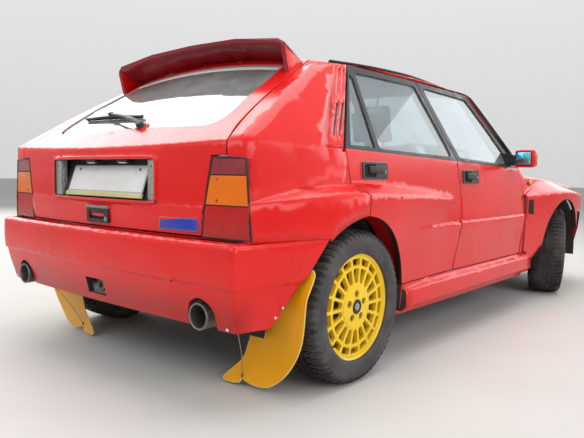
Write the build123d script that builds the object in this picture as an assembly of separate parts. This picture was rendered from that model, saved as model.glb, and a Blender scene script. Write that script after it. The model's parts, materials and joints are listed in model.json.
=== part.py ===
from build123d import *
import os
from math import cos, radians, sin, sqrt

# A four-door rally hatchback in millimetres: +Y points forward, +X is the car's own right, +Z is up.
# The origin is on the ground, in the middle of the car's length and width.

# Driving dimensions
wheelbase = 2480
front_axle_y = 1160
rear_axle_y = front_axle_y - wheelbase
tail_bow_y = -1900
tail_corner_y = -1858
tail_corner_x = 790
nose_bow_y = 1880
nose_corner_y = 1835
nose_corner_x = 720
nose_back_y = 1812

# Walls and gaps
skin = 24
door_wall = 78
frame_skin = 22
frame_wall = 50
roof_wall = 34
glass_thick = 5
glass_depth = 7
gap = 5
door_gap = 7
frame_gap = 13
window_gap = 8
seat_gap = 0.3
lid_seat_gap = 0.8

# Wheels
tyre_radius = 295.5
tyre_width = 205
bead_radius = 203
flange_radius = 218
wheel_x = 752
rest_steer = 22
spokes = 18
lug_circle = 49
hub_disc_radius = 83

# Wheel arches
rear_arch_radius = 355
front_arch_radius = 372
arch_z = 290
well_inner_x = 505
front_well_inner_x = 465
liner = 10

# Heights of the side's outline
floor_z = 190
cabin_floor_z = 215
boot_floor_z = 430
low_z = 330
crease_z = 566
sky_z = 1500
tumble = 0.497
door_bottom_z = 338
bumper_top_z = 575
bumper_crease_z = 436
bumper_bottom_z = 283
front_bumper_top_z = 556
bumper_gap = 6

# Columns: y, half widths at the sill, low line, crease and belt, height of the belt
side_stations = [
    (-2000, 745, 770, 790, 760, 905),
    (-1320, 780, 795, 808, 787, 896),
    (-400, 790, 805, 817, 795, 882),
    (520, 790, 803, 814, 785, 852),
    (1160, 775, 795, 800, 768, 784),
    (2000, 690, 735, 740, 700, 722),
]

# Each run of the top: columns are y, height at the middle, drop at 600 mm to the side
top_runs = [
    [(-2040, 781, 2), (-1893, 890, 4), (-1600, 1106, 24), (-1300, 1306, 60)],
    [(-1300, 1306, 60), (-950, 1346, 74), (-450, 1363, 80), (130, 1330, 66)],
    [(130, 1330, 66), (560, 895, 50)],
    [(560, 895, 50), (1250, 832, 34), (2000, 742, 20)],
]

# Flares: columns are y, edge x and z, where the ledge meets the side x and z, foot x
rear_flare = [
    (-1862, 784, 701, 778, 706, 800),
    (-1541, 880, 722, 790, 764, 862),
    (-1320, 885, 724, 793, 770, 866),
    (-1000, 862, 712, 797, 757, 816),
    (-700, 835, 702, 801, 733, 806),
    (-470, 811, 694, 806, 698, 798),
]
front_flare = [
    (545, 820, 686, 806, 694, 808),
    (800, 856, 700, 786, 762, 838),
    (1000, 878, 708, 775, 782, 862),
    (1160, 885, 710, 762, 776, 872),
    (1400, 880, 700, 745, 752, 866),
    (1650, 850, 680, 722, 722, 838),
    (1872, 770, 640, 690, 680, 770),
]
flare_core_x = 640

# Vent panel behind the rear window: side outlines of its edge, slots and pressed ribs, as y and z
vent_panel = [(-1191, 1243), (-1425, 943), (-1457, 893), (-1352, 895)]
vent_slots = [[(-1285, 1077), (-1394, 941)], [(-1246, 1081), (-1358, 943)]]
vent_ribs = [[(-1172, 1234), (-1271, 1099)], [(-1140, 1234), (-1234, 1103)]]
vent_width = 13
vent_slot_depth = 14
vent_rib_depth = 3
vent_line = 4

# Side outlines of the shut lines: columns are y and z. The first is the line between the doors
middle_line = [(-438, door_bottom_z), (-378, 560), (-370, 700), (-407, 884), (-511, 1266)]
rear_edge_line = [(y - door_gap / 2, z) for y, z in middle_line]
front_edge_line = [(y + door_gap / 2, z) for y, z in middle_line]
rear_door_back = [(-1347, 896), (-1314, 748), (-1309, 705), (-1314, 640), (-1100, door_bottom_z)]
rear_door_low = rear_door_back + rear_edge_line[:4]
rear_door_frame = [(-1347, 896)] + rear_edge_line[3:] + [(-1088, 1262)]
front_door_low = [(498, door_bottom_z), (560, 655), (470, 852)] + front_edge_line[3::-1]
front_door_frame = [(470, 852), (396, 934), (240, 1112), (95, 1264)] + front_edge_line[:2:-1]
rear_window = [(-1105, 905), (-450, 893), (-540, 1240), (-1062, 1232)]
quarter_window = [(-1310, 907), (-1135, 905), (-1092, 1200), (-1110, 1222)]
window_round = 20
quarter_round = 8
front_window = [(-362, 890), (318, 868), (345, 905), (203, 1092), (74, 1236), (-460, 1240)]
frame_top_x = 568

# Top outlines of the lids and the glass: columns are y and half width
tailgate_top = [(-1990, 697), (-1886, 697), (-1770, 636), (-1395, 572), (-1297, 556)]
tailgate_low_edge = [(576, bumper_top_z + 10), (589, 690), (623, 856)]
lamp_back_y = -1815
lamp_outline = [(582, bumper_top_z + 6), (595, 690), (629, 848), (770, 843), (792, bumper_top_z + 6)]
tailgate_lip_z = 854
# Plate recess with the raised frame round it
plate_half = 348
plate_low_z = 691
plate_high_z = 843
plate_deep_high_y = -1836
plate_deep_low_y = -1884
plate_pan_wall = 6
plate_frame = 11
plate_frame_proud = 7
plate_round = 12
tail_glass_outline = [(-1788, 560), (-1352, 484)]
tail_glass_low_round = 70
tail_glass_high_round = 25
roof_outline = [(-1291, 556), (-600, 560), (116, 526)]
windscreen_outline = [(122, 522), (330, 600), (530, 672)]
windscreen_round = 35
bonnet_outline = [(572, 668), (1180, 640), (1852, 590)]
bonnet_lip_z = 713

# Exhaust tips and the notches round them
tip_x = 607
tip_z = 322
tip_notch = 64

# Ends of the hollows
firewall_y = 545
cabin_rear_y = -1852
boot_front_y = -1000
firewall = 30
boot_floor = 26


def ring(points):
    """Wire through (x, y, z) points, closed."""
    return Wire.make_polygon(points, close=True)


def both_sides(half):
    """Closed outline of a half given from one end of the middle line to the other."""
    return half + [(-across, along) for across, along in reversed(half)]


def prism_x(outline, x0, x1):
    """Outline of (y, z) points, from x0 to x1."""
    face = Face(ring([(x0, y, z) for y, z in outline]))
    return Solid.extrude(face, Vector(x1 - x0, 0, 0))


def prism_y(outline, y0, y1):
    """Outline of (x, z) points, from y0 to y1."""
    face = Face(ring([(x, y0, z) for x, z in outline]))
    return Solid.extrude(face, Vector(0, y1 - y0, 0))


def prism_z(outline, z0, z1):
    """Outline of (x, y) points, from z0 to z1."""
    face = Face(ring([(x, y, z0) for x, y in outline]))
    return Solid.extrude(face, Vector(0, 0, z1 - z0))


def box(x0, x1, y0, y1, z0, z1):
    return Solid.make_box(x1 - x0, y1 - y0, z1 - z0, Plane((x0, y0, z0)))


def rod_x(radius, x0, x1, y, z):
    return Solid.make_cylinder(radius, x1 - x0, Plane(origin=(x0, y, z), z_dir=(1, 0, 0)))


def rod_y(radius, y0, y1, x, z):
    return Solid.make_cylinder(radius, y1 - y0, Plane(origin=(x, y0, z), z_dir=(0, 1, 0)))


def rod_z(radius, z0, z1, x, y):
    return Solid.make_cylinder(radius, z1 - z0, Plane((x, y, z0)))


def rod(start, end, radius):
    """Round bar between two points."""
    line = Vector(*end) - Vector(*start)
    return Solid.make_cylinder(radius, line.length, Plane(origin=start, z_dir=line))


def top_view(outline, grow=0):
    """Closed (x, y) outline of both sides, from (y, half width) rows."""
    half = [(width, y) for y, width in outline]
    whole = half + [(-x, y) for x, y in reversed(half)]
    return grown(whole, grow) if grow else whole


def grown(outline, by):
    """Outline moved outwards by a gap, its corners kept sharp."""
    face = Face(ring([(u, v, 0) for u, v in outline]))
    wire = face.outer_wire().offset_2d(by, Kind.INTERSECTION)
    return [(p.X, p.Y) for p in (edge.start_point() for edge in wire.order_edges())]


def rounded(prism, axis, radius):
    """Prism with the edges along one axis rounded."""
    return prism.fillet(radius, prism.edges().filter_by(axis))


def rounded_ends(prism, low_radius, high_radius):
    """Upright prism with its four outer corners rounded, the ones at low Y by their own radius."""
    upright = prism.edges().filter_by(Axis.Z).sort_by(Axis.Y)
    first = prism.fillet(low_radius, upright[:2])
    return first.fillet(high_radius, first.edges().filter_by(Axis.Z).sort_by(Axis.Y)[-2:])


def mirrored(shape):
    return shape.mirror(Plane.YZ)


def pair(shape):
    return [shape, mirrored(shape)]


def all_solids(shapes):
    return [solid for shape in shapes for solid in shape.solids()]


def fused(first, *others):
    return first + all_solids(others)


def cut(first, *tools):
    return first - all_solids(tools)


def save(node, *shapes):
    """Write one node; its solids that touch are already one."""
    solids = all_solids(shapes)
    whole = solids[0] if len(solids) == 1 else Compound(solids)
    export_step(whole, f"parts/{node}.step")


# The outer form and the same form moved inwards by a wall

def side_form(low_wall, high_wall, bottom_z):
    rings = []
    for y, sill_x, low_x, crease_x, belt_x, belt_z in side_stations:
        sky_x = belt_x - tumble * (sky_z - belt_z)
        half = [(sill_x - low_wall, bottom_z), (low_x - low_wall, low_z), (crease_x - low_wall, crease_z),
                (belt_x - high_wall, belt_z), (sky_x - high_wall, sky_z)]
        rings.append(ring([(x, y, z) for x, z in both_sides(half)]))
    return Solid.make_loft(rings, True)


def crown(y, middle_z, drop, wall):
    """Section of the air above the car: an arc closed by a high box."""
    reach = 1000
    lid_z = 1700
    edge_z = middle_z - drop * (reach / 600) ** 2 - wall
    arc = Edge.make_three_point_arc((-reach, y, edge_z), (0, y, middle_z - wall), (reach, y, edge_z))
    sides = [Edge.make_line((reach, y, edge_z), (reach, y, lid_z)),
             Edge.make_line((reach, y, lid_z), (-reach, y, lid_z)),
             Edge.make_line((-reach, y, lid_z), (-reach, y, edge_z))]
    return Wire([arc] + sides)


def air_above(wall):
    return [Solid.make_loft([crown(*row, wall) for row in run_rows], True) for run_rows in top_runs]


def plan_form(wall):
    """The car's top view between its bowed tail and nose."""
    tail = Edge.make_three_point_arc((-tail_corner_x, tail_corner_y + wall, 0), (0, tail_bow_y + wall, 0),
                                     (tail_corner_x, tail_corner_y + wall, 0))
    nose = Edge.make_three_point_arc((nose_corner_x, nose_corner_y - wall, 0), (0, nose_bow_y - wall, 0),
                                     (-nose_corner_x, nose_corner_y - wall, 0))
    right = [(tail_corner_x, tail_corner_y + wall), (840, -1780), (840, 1600),
             (nose_corner_x, nose_corner_y - wall)]
    lines = []
    for start, end in zip(right, right[1:]):
        lines.append(Edge.make_line((*start, 0), (*end, 0)))
    left = [Edge.make_line((-end[0], end[1], 0), (-start[0], start[1], 0))
            for start, end in zip(right, right[1:])]
    outline = Wire([tail] + lines + [nose] + list(reversed(left)))
    return Solid.extrude(Face(outline), Vector(0, 0, sky_z))


def flare_form(rows, wall):
    rings = []
    for y, edge_x, edge_z, ledge_x, ledge_z, foot_x in rows:
        low = (foot_x - wall, floor_z + 40)
        edge = (edge_x - wall, edge_z - wall * 0.5)
        ledge = (ledge_x - wall, ledge_z - wall)
        core = [(flare_core_x, ledge_z - wall), (flare_core_x, floor_z + 40)]
        rings.append(ring([(x, y, z) for x, z in [low, edge, ledge] + core]))
    return Solid.make_loft(rings, True)


def hull(low_wall, high_wall, top_wall, bottom_z):
    body = side_form(low_wall, high_wall, bottom_z) & plan_form(top_wall)
    return cut(body, *air_above(top_wall))


outer_plain = hull(0, 0, 0, floor_z)
outer = outer_plain
for rows in (rear_flare, front_flare):
    flare = flare_form(rows, 0)
    outer = fused(outer, flare, mirrored(flare))
inner_plain = hull(skin, skin, skin, floor_z - 10)
inner = inner_plain
for rows in (rear_flare, front_flare):
    flare = flare_form(rows, skin)
    inner = fused(inner, flare, mirrored(flare))
cabin_form = hull(door_wall, frame_wall, roof_wall, cabin_floor_z)
frame_inner = hull(frame_skin, frame_skin, frame_skin, floor_z - 1)
rail_layer = frame_skin + gap * 1.3
rail_outer = hull(rail_layer, rail_layer, rail_layer, floor_z - 1)
glass_layer = hull(glass_depth, glass_depth, glass_depth, floor_z) - hull(
    glass_depth + glass_thick, glass_depth + glass_thick, glass_depth + glass_thick, floor_z - 1)

cabin = cabin_form & fused(box(-900, 900, boot_front_y, firewall_y, cabin_floor_z, sky_z),
                           box(-900, 900, cabin_rear_y, boot_front_y, boot_floor_z, sky_z))

# Wheel wells and the arches' edges

front_run_off = [(front_axle_y - 340, 380), (600, 252), (600, 100), (front_axle_y, 100)]


def well(axle_y, radius, x0):
    """Space round a wheel, open at the side and below."""
    round_top = rod_x(radius, x0, 1000, axle_y, arch_z)
    return fused(round_top, box(x0, 1000, axle_y - radius, axle_y + radius, 0, arch_z))


rear_well = well(rear_axle_y, rear_arch_radius, well_inner_x)
front_well = fused(well(front_axle_y, front_arch_radius, front_well_inner_x),
                   prism_x(front_run_off, 600, 1000))
rear_wells = pair(rear_well)
front_wells = pair(front_well)

# Lids and doors

tailgate_low = both_sides(tailgate_low_edge)
tailgate_space = [
    prism_z(top_view(tailgate_top, gap), tailgate_lip_z - gap, sky_z),
    prism_y(grown(tailgate_low, gap + 1), -2000, -1780),
]
shell_wall = outer - cabin
tailgate = fused(shell_wall & prism_z(top_view(tailgate_top), tailgate_lip_z, sky_z),
                 shell_wall & prism_y(tailgate_low, -2000, -1800))
tail_glass_hole = rounded_ends(prism_z(top_view(tail_glass_outline), 900, sky_z), tail_glass_low_round,
                               tail_glass_high_round)
tailgate = tailgate - tail_glass_hole


def plate_form(grow, deeper):
    """Block with the recess's outline and leaning floor, moved outwards by an amount."""
    low_z = plate_low_z - grow
    high_z = plate_high_z + grow
    block = prism_x([(-2000, low_z), (plate_deep_low_y + deeper, low_z),
                     (plate_deep_high_y + deeper, high_z), (-2000, high_z)], -plate_half - grow, plate_half + grow)
    return rounded(block, Axis.Y, plate_round + grow)


plate_recess = plate_form(0, 0)
plate_rim = plate_form(plate_frame, 0)
plate_pan = plate_form(plate_pan_wall, plate_pan_wall)
tailgate = fused(tailgate, plate_rim & plan_form(-plate_frame_proud), plate_pan & outer) - plate_recess
tailgate_glass = glass_layer & tail_glass_hole

bonnet_space = prism_z(top_view(bonnet_outline, gap), 640, sky_z) - box(
    -900, 900, nose_back_y - 40, 2000, 0, bonnet_lip_z - gap)
bonnet = cut((outer - inner) & prism_z(top_view(bonnet_outline), 640, sky_z),
             box(-900, 900, nose_back_y - 40, 2000, 0, bonnet_lip_z))
roof = shell_wall & prism_z(top_view(roof_outline), 1150, sky_z)
windscreen_hole = rounded_ends(prism_z(top_view(windscreen_outline), 880, sky_z), windscreen_round,
                               windscreen_round)
windscreen = glass_layer & windscreen_hole


def door_blank(low, frame, axle_y, arch_radius):
    """Outer panel, inner panel set back all round, and window frame of the right door."""
    panel = (outer - inner) & prism_x(low, 600, 1000)
    core_outline = grown(low, -14)
    core = (inner - cabin_form) & prism_x(core_outline, 600, 1000)
    upper = (outer_plain - frame_inner) & prism_x(frame, frame_top_x, 1000)
    edge_arch = rod_x(arch_radius, 500, 1000, axle_y, arch_z)
    core_arch = rod_x(arch_radius + 34, 500, 1000, axle_y, arch_z)
    return fused(panel - edge_arch, core - core_arch, upper)


def window_hole(outline, radius, grow=0):
    """Prism through a side window, its corners rounded."""
    return rounded(prism_x(grown(outline, grow) if grow else outline, 500, 1000), Axis.X, radius + grow)


side_windows = [(rear_window, window_round), (quarter_window, quarter_round)]
rear_door = door_blank(rear_door_low, rear_door_frame, rear_axle_y, rear_arch_radius)
rear_door = cut(rear_door, *[window_hole(*row) for row in side_windows])
front_door = door_blank(front_door_low, front_door_frame, front_axle_y, front_arch_radius)
front_door = front_door - window_hole(front_window, window_round)
rear_door_glass = [glass_layer & window_hole(*row) for row in side_windows]
front_door_glass = [glass_layer & window_hole(front_window, window_round)]
door_spaces = [prism_x(grown(rear_door_low, gap), 600, 1000), prism_x(grown(front_door_low, gap), 600, 1000)]
for frame in (rear_door_frame, front_door_frame):
    door_spaces.append(prism_x(grown(frame, frame_gap), frame_top_x - gap, 1000) - rail_outer)
for row in side_windows + [(front_window, window_round)]:
    door_spaces.append(window_hole(*row, window_gap))

# Fenders, bumpers and the body shell

fender_outline = [(503, 330), (565, 655), (476, 856), (520, 930), (1872, 930), (1872, 200), (520, 200)]
scuttle_x = 684
nose_x = 694
scuttle = box(0, scuttle_x, 400, bonnet_outline[0][0] - gap, 0, sky_z)
fender_prism = prism_x(fender_outline, 560, 1000) - scuttle
fender = (outer - inner) & fender_prism
fender = cut(fender, bonnet_space, front_well, box(0, nose_x + bumper_gap, 1780, 2000, 0, 1000),
             box(500, 1000, 1500, 2000, 0, front_bumper_top_z + bumper_gap), box(500, 1000, 400, 592, 0, 336))


def bumper_ring(z, tail_y, corner_x, corner_y, side_x, side_y, wall, sign):
    """Bumper's outline at one height, with the open side towards the wheels."""
    end_x = corner_x - wall
    end_y = sign * (corner_y - wall)
    bow = Edge.make_three_point_arc((-end_x, end_y, z), (0, sign * (tail_y - wall), z), (end_x, end_y, z))
    right = [(corner_x - wall, corner_y - wall), (side_x - wall, side_y), (side_x - wall, side_y - 300)]
    lines = []
    for start, end in zip(right, right[1:]):
        lines.append(Edge.make_line((start[0], sign * start[1], z), (end[0], sign * end[1], z)))
    across = Edge.make_line((right[-1][0], sign * right[-1][1], z), (-right[-1][0], sign * right[-1][1], z))
    left = [Edge.make_line((-end[0], sign * end[1], z), (-start[0], sign * start[1], z))
            for start, end in reversed(list(zip(right, right[1:])))]
    return Wire([bow] + lines + [across] + left)


# Columns: z, bow y, corner x and y, side x and y
rear_bumper_rows = [
    (bumper_bottom_z, 1908, 752, 1885, 838, 1541),
    (bumper_crease_z, 1950, 782, 1927, 868, 1541),
    (562, 1946, 782, 1923, 873, 1541),
    (bumper_top_z, 1932, 770, 1909, 871, 1541),
]
front_bumper_rows = [
    (240, 1900, 700, 1850, 835, 1540),
    (bumper_crease_z, 1950, 725, 1890, 868, 1540),
    (546, 1944, 722, 1884, 873, 1540),
    (front_bumper_top_z, 1930, 712, 1872, 871, 1540),
]


def bumper_form(rows, sign):
    outside = Solid.make_loft([bumper_ring(*row, 0, sign) for row in rows], True)
    hollow_rows = [(rows[0][0] - 1, *rows[0][1:])] + list(rows[1:-1]) + [(rows[-1][0] + 1, *rows[-1][1:])]
    inside = Solid.make_loft([bumper_ring(*row, skin, sign) for row in hollow_rows], True)
    return outside, inside


outside, inside = bumper_form(rear_bumper_rows, -1)
rear_edge = [(-1535, bumper_top_z + 5), (-1545, bumper_top_z + 5), (-1758, bumper_bottom_z - 5), (-1758, 200),
             (-1200, 200), (-1200, bumper_top_z + 5)]
rear_bumper = cut(outside, inside, prism_x(rear_edge, -1000, 1000),
                  box(-62, 62, -2000, -1800, 312, 376))
for tip in (-tip_x, tip_x):
    rear_bumper = rear_bumper - rod_y(tip_notch, -2000, -1700, tip, tip_z)
    rear_bumper = rear_bumper - box(tip - tip_notch, tip + tip_notch, -2000, -1700, 200, tip_z)
outside, inside = bumper_form(front_bumper_rows, 1)
front_edge = [(1535, bumper_top_z + 5), (1545, bumper_top_z + 5), (1640, 235), (1640, 150), (1200, 150),
              (1200, bumper_top_z + 5)]
front_bumper = cut(outside, inside, prism_x(front_edge, -1000, 1000),
                   box(-330, 330, 1800, 2000, 290, 400), box(-200, 200, 1800, 2000, 470, 530),
                   box(-280, -220, 1800, 2000, 235, 312))
for side in (-1, 1):
    lamp_hole_x = sorted((side * 400, side * 610))
    front_bumper = front_bumper - box(*lamp_hole_x, 1800, 2000, 290, 400)

cross_front_y = 1790
cross_low_z = 300
cross_high_z = 328
for side in (-1, 1):
    bracket_x = sorted((side * 345, side * 385))
    bracket = box(*bracket_x, cross_front_y, 1893, cross_low_z, cross_high_z)
    front_bumper = fused(front_bumper, bracket)

# Body shell

rear_liner = (rod_x(rear_arch_radius + liner, well_inner_x - liner, 768, rear_axle_y, arch_z)
              & box(0, 900, -2000, -900, 200, 900)) & cabin_form
front_liner = rod_x(front_arch_radius + liner, front_well_inner_x - liner, 740, front_axle_y, arch_z) & inner
front_liner = front_liner & box(0, 900, 700, 1600, 230, 900)
bay_side = inner & box(front_well_inner_x - liner, front_well_inner_x + 6, firewall_y, nose_back_y - 40,
                       300, 700)
tunnel_x = 82
tunnel_top_z = 330
tunnel_wall = 14
fender_layer = fender_prism - inner
shell = cut(shell_wall, fender_layer, mirrored(fender_layer), bonnet_space,
            box(-900, 900, firewall_y + firewall, 2000, 0, sky_z),
            box(-760, 760, -2000, boot_front_y - boot_floor, 0, boot_floor_z - boot_floor))
shell = fused(shell, box(-tunnel_x, tunnel_x, boot_front_y, firewall_y + firewall, cabin_floor_z - 5,
                         tunnel_top_z))
tunnel_space = box(tunnel_wall - tunnel_x, tunnel_x - tunnel_wall, boot_front_y - 60, firewall_y + 60, 100,
                   tunnel_top_z - tunnel_wall)
rear_corner = box(-1000, 1000, -2000, -1545, 0, bumper_top_z)
shell = shell - (rear_corner - box(-700, 700, -1840, -1545, 0, 1000))
lamp_space = prism_y(lamp_outline, -2000, lamp_back_y)
shell = cut(shell, lamp_space, mirrored(lamp_space))
shell = cut(shell, *tailgate_space, prism_z(top_view(roof_outline), 1150, sky_z), windscreen_hole)


def strip(line, width):
    """Slanted strip about a line of two (y, z) points."""
    (y0, z0), (y1, z1) = line
    half = width / 2
    return prism_x([(y0 - half, z0), (y0 + half, z0), (y1 + half, z1), (y1 - half, z1)], 500, 1000)


slot_layer = outer_plain - hull(vent_slot_depth, vent_slot_depth, vent_slot_depth, floor_z - 1)
rib_layer = outer_plain - hull(vent_rib_depth, vent_rib_depth, vent_rib_depth, floor_z - 1)
vent_edges = [strip(line, vent_line) for line in zip(vent_panel, vent_panel[1:3])]
vent_foot = vent_panel[2:] + [(y, z + vent_line) for y, z in reversed(vent_panel[2:])]
vent_edges.append(prism_x(vent_foot, 500, 1000))
vents = fused(slot_layer & fused(*[strip(line, vent_width) for line in vent_slots]),
              rib_layer & fused(*[strip(line, vent_width) for line in vent_ribs], *vent_edges))
shell = cut(shell, vents, mirrored(vents))
shell = cut(shell, *door_spaces, *[mirrored(space) for space in door_spaces])
liners = [rear_liner, front_liner, bay_side]
shell = fused(shell, *liners, *[mirrored(side_liner) for side_liner in liners])
shell = cut(shell, *rear_wells, *front_wells)
pillar_layer = hull(door_wall + 6, door_wall + 6, roof_wall, cabin_floor_z - 5) - hull(
    door_wall + 46, door_wall + 46, roof_wall + 20, cabin_floor_z - 6)
pillar = pillar_layer & prism_x([(-455, 200), (-355, 200), (-355, 940), (-475, 940)], 500, 1000)
pillar_head = (rail_outer - hull(door_wall + 46, door_wall + 46, roof_wall + 20, floor_z)) & prism_x(
    [(-348, 896), (-355, 940), (-478, 940), (-462, 896)], 500, 1000)
pillar = fused(pillar, pillar_head)
shell = fused(shell, pillar, mirrored(pillar))
skirt_outline = [(796, 331), (842, 306), (846, 240), (822, 216), (740, 216), (740, 260), (796, 300)]
skirt = prism_y(skirt_outline, rear_axle_y + rear_arch_radius + 6, 590)
front_floor = box(-front_well_inner_x, front_well_inner_x, firewall_y, firewall_y + 40, floor_z, 300)
cross_member = box(-front_well_inner_x, front_well_inner_x, 1690, cross_front_y, cross_low_z, cross_high_z)
# The posts carry the nose between its lamps
post = fused(box(478, 516, 1740, nose_back_y, cross_low_z, 700),
             box(front_well_inner_x, 480, 1740, 1770, cross_low_z, 560))
tail_panel_y = -1840
tail_panel = box(-690, 690, tail_panel_y, tail_panel_y + 18, boot_floor_z - boot_floor, bumper_top_z)
# Seats of the closed lids and doors: each face stands off by the seat gap
lid_layer = skin + lid_seat_gap
lid_seat_form = hull(lid_layer, lid_layer, lid_layer, floor_z)
bonnet_seat = box(-60, 60, firewall_y + 10, firewall_y + 80, 760, 900) & lid_seat_form
latch = box(-30, 30, -1880, tail_panel_y + 18, 540, bumper_top_z + 10 - seat_gap)
latch_layer = hull(door_wall + seat_gap, door_wall + seat_gap, roof_wall, cabin_floor_z) - hull(
    door_wall + 12, door_wall + 12, roof_wall, cabin_floor_z - 1)
strikers = latch_layer & fused(box(600, 900, -450, -320, 600, 680), box(600, 900, -450, -320, 400, 440))
shell = fused(shell, skirt, mirrored(skirt), front_floor, cross_member, post, mirrored(post), tail_panel,
              bonnet_seat, latch, strikers, mirrored(strikers)) - tunnel_space

# Lamps, nose and spoiler

tail_lamp = outer_plain & prism_y(lamp_outline, -2000, lamp_back_y)
grille_bottom_z = front_bumper_top_z + bumper_gap
nose = outer_plain & box(-nose_x, nose_x, nose_back_y, 2000, grille_bottom_z, 800)
nose = nose - bonnet_space
headlamp_z = 638
# Columns: x of the lamp's middle, radius
headlamps = [(585, 66), (415, 60)]
lamps = []
for x, radius in headlamps:
    lamp = rod_y(radius, nose_back_y - 30, nose_corner_y + 14, x, headlamp_z)
    nose = cut(nose, lamp, mirrored(lamp), rod_y(radius, nose_back_y, 2000, x, headlamp_z),
               rod_y(radius, nose_back_y, 2000, -x, headlamp_z))
    lamps += pair(lamp)
slat_count = 5
grille_low_z = 584
grille_high_z = 704
slat_pitch = (grille_high_z - grille_low_z) / slat_count
slots = []
for slat in range(slat_count):
    z = grille_low_z + slat * slat_pitch
    slots.append(box(-305, 305, nose_back_y - 10, 2000, z, z + slat_pitch - 7))
nose = cut(nose, *slots)

# Columns: x, front y and z, rear y and z
half_spoiler = [(556, -1330, 1240, -1440, 1302), (525, -1318, 1262, -1446, 1320),
                (280, -1308, 1300, -1443, 1350)]
middle_spoiler = [(0, -1305, 1314, -1440, 1358)]
spoiler_rows = [(-row[0], *row[1:]) for row in half_spoiler] + middle_spoiler + half_spoiler[::-1]
spoiler_thick = 16
blades = []
for x, front_y, front_z, back_y, back_z in spoiler_rows:
    blades.append(ring([(x, front_y, front_z - 22), (x, front_y, front_z), (x, back_y, back_z),
                        (x, back_y, back_z - spoiler_thick)]))
blade = Solid.make_loft(blades, True)
foot_outline = [(-1332, 1240), (-1440, 1302), (-1440, 1284), (-1412, 1180), (-1378, 1180), (-1332, 1215)]
foot = prism_x(foot_outline, 536, 556)
spoiler = fused(blade, foot, mirrored(foot)) - outer

# Wheels, laid along +X with the outside face towards +X

def spun(profile):
    """Ring about the X axis from (along, radius) points."""
    face = Face(ring([(a, r, 0) for a, r in profile]))
    return Solid.revolve(face, 360, Axis.X)


half_width = tyre_width / 2
bead_a = 90
tyre_half = [(bead_a, bead_radius), (bead_a, flange_radius + seat_gap), (half_width, bead_radius + 42),
             (half_width - 6, tyre_radius - 22), (half_width - 24, tyre_radius - 3),
             (half_width - 45, tyre_radius)]
tyre = spun(tyre_half + [(-a, r) for a, r in reversed(tyre_half)])
face_a = 62
face_thick = 18
barrel = spun([(-97, flange_radius), (-bead_a, flange_radius), (-bead_a, bead_radius), (bead_a, bead_radius),
               (bead_a, flange_radius), (97, flange_radius), (97, 205), (86, 192), (-88, 192), (-97, 205)])
spoke_disc = rod_x(195, face_a, face_a + face_thick, 0, 0)
hub_face_a = 35
hub = rod_x(hub_disc_radius, hub_face_a, face_a + face_thick + 4, 0, 0)
rim = fused(barrel, spoke_disc, hub)
spoke_half = 4.5
# Columns: inner radius, outer radius of a row of windows
window_rows = [(90, 146), (158, 187)]
half_step = radians(180 / spokes)
for r0, r1 in window_rows:
    w0 = r0 * sin(half_step) - spoke_half
    w1 = r1 * sin(half_step) - spoke_half
    window = prism_x([(-w0, r0), (w0, r0), (w1, r1), (-w1, r1)], face_a - 5, face_a + face_thick + 5)
    rim = cut(rim, *[window.rotate(Axis.X, (step + 0.5) * 360 / spokes) for step in range(spokes)])
spindle_radius = 29
running = 0.3
spindle_bore_end = 66
rim = rim - rod_x(spindle_radius + running, hub_face_a - 1, spindle_bore_end, 0, 0)
lug_holes = []
for step in range(5):
    angle = radians(72 * step + 90)
    lug_holes.append(rod_x(7, hub_face_a - 1, 100, lug_circle * cos(angle), lug_circle * sin(angle)))
    lug_holes.append(rod_x(13, face_a + 6, 100, lug_circle * cos(angle), lug_circle * sin(angle)))
rim = cut(rim, *lug_holes)
wheel_z = tyre_radius

# Hub carriers, laid like the wheels, and the steering axis through the ball joint and the strut

ball_z = 190
axis_top_z = 485
axis_ball_x = 690
axis_top_x = 612
axis_slope = (axis_ball_x - axis_top_x) / (axis_top_z - ball_z)
strut_radius = 22


def axis_x(z):
    return axis_ball_x - axis_slope * (z - ball_z)


def steered(shape, side):
    """Turn a front piece to the left about its steering axis; side is 1 on the right and -1 on the left."""
    axis = Axis((side * axis_ball_x, front_axle_y, ball_z), (-side * axis_slope, 0, 1))
    return shape.rotate(axis, rest_steer)


def placed(shape, side, y):
    """Wheel piece moved to its corner of the car."""
    moved = shape if side > 0 else mirrored(shape)
    return moved.moved(Location((side * wheel_x, y, wheel_z)))


disc_outer = 142
brake = rod_x(disc_outer, 6, 28, 0, 0)
spindle = rod_x(spindle_radius, -28, spindle_bore_end - 2, 0, 0)
caliper = prism_x([(-70, 96), (70, 96), (80, 158), (-80, 158)], -12, 26)
carrier = fused(brake, spindle, rod_x(52, -28, 10, 0, 0), caliper)


def strut_rod(z0, z1, radius):
    """Part of the right strut's round bar, along the steering axis."""
    return rod((axis_x(z0), 0, z0), (axis_x(z1), 0, z1), radius)


upright = box(axis_x(240) - 26, wheel_x - 16, -34, 34, ball_z + 26, 262)
upright = fused(upright, box(axis_x(345) - 8, wheel_x - 16, -34, 34, 330, 404),
                box(wheel_x - 44, wheel_x - 16, -40, 40, 250, 340))
upright = cut(upright, strut_rod(300, 600, strut_radius + running))
clamp = cut(strut_rod(352, 440, strut_radius + 10), strut_rod(300, 600, strut_radius + running))
knuckle_parts = [carrier.moved(Location((wheel_x, 0, wheel_z))), upright, clamp]
knuckle_right = fused(*knuckle_parts).moved(Location((0, front_axle_y, 0)))
strut_right = fused(strut_rod(348, 648, strut_radius), strut_rod(612, 628, 62), strut_rod(636, 648, 40))
strut_pad = 56
front_pad_z = arch_z + sqrt(front_arch_radius ** 2 - strut_pad ** 2) - seat_gap
strut_top = rod_z(strut_pad, 640, front_pad_z, axis_x(652), 0)
arm_end_x = axis_ball_x - 10
arm_outline = [(330, -170), (370, -170), (arm_end_x, -22), (arm_end_x, 22), (370, 120), (330, 120)]
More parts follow.
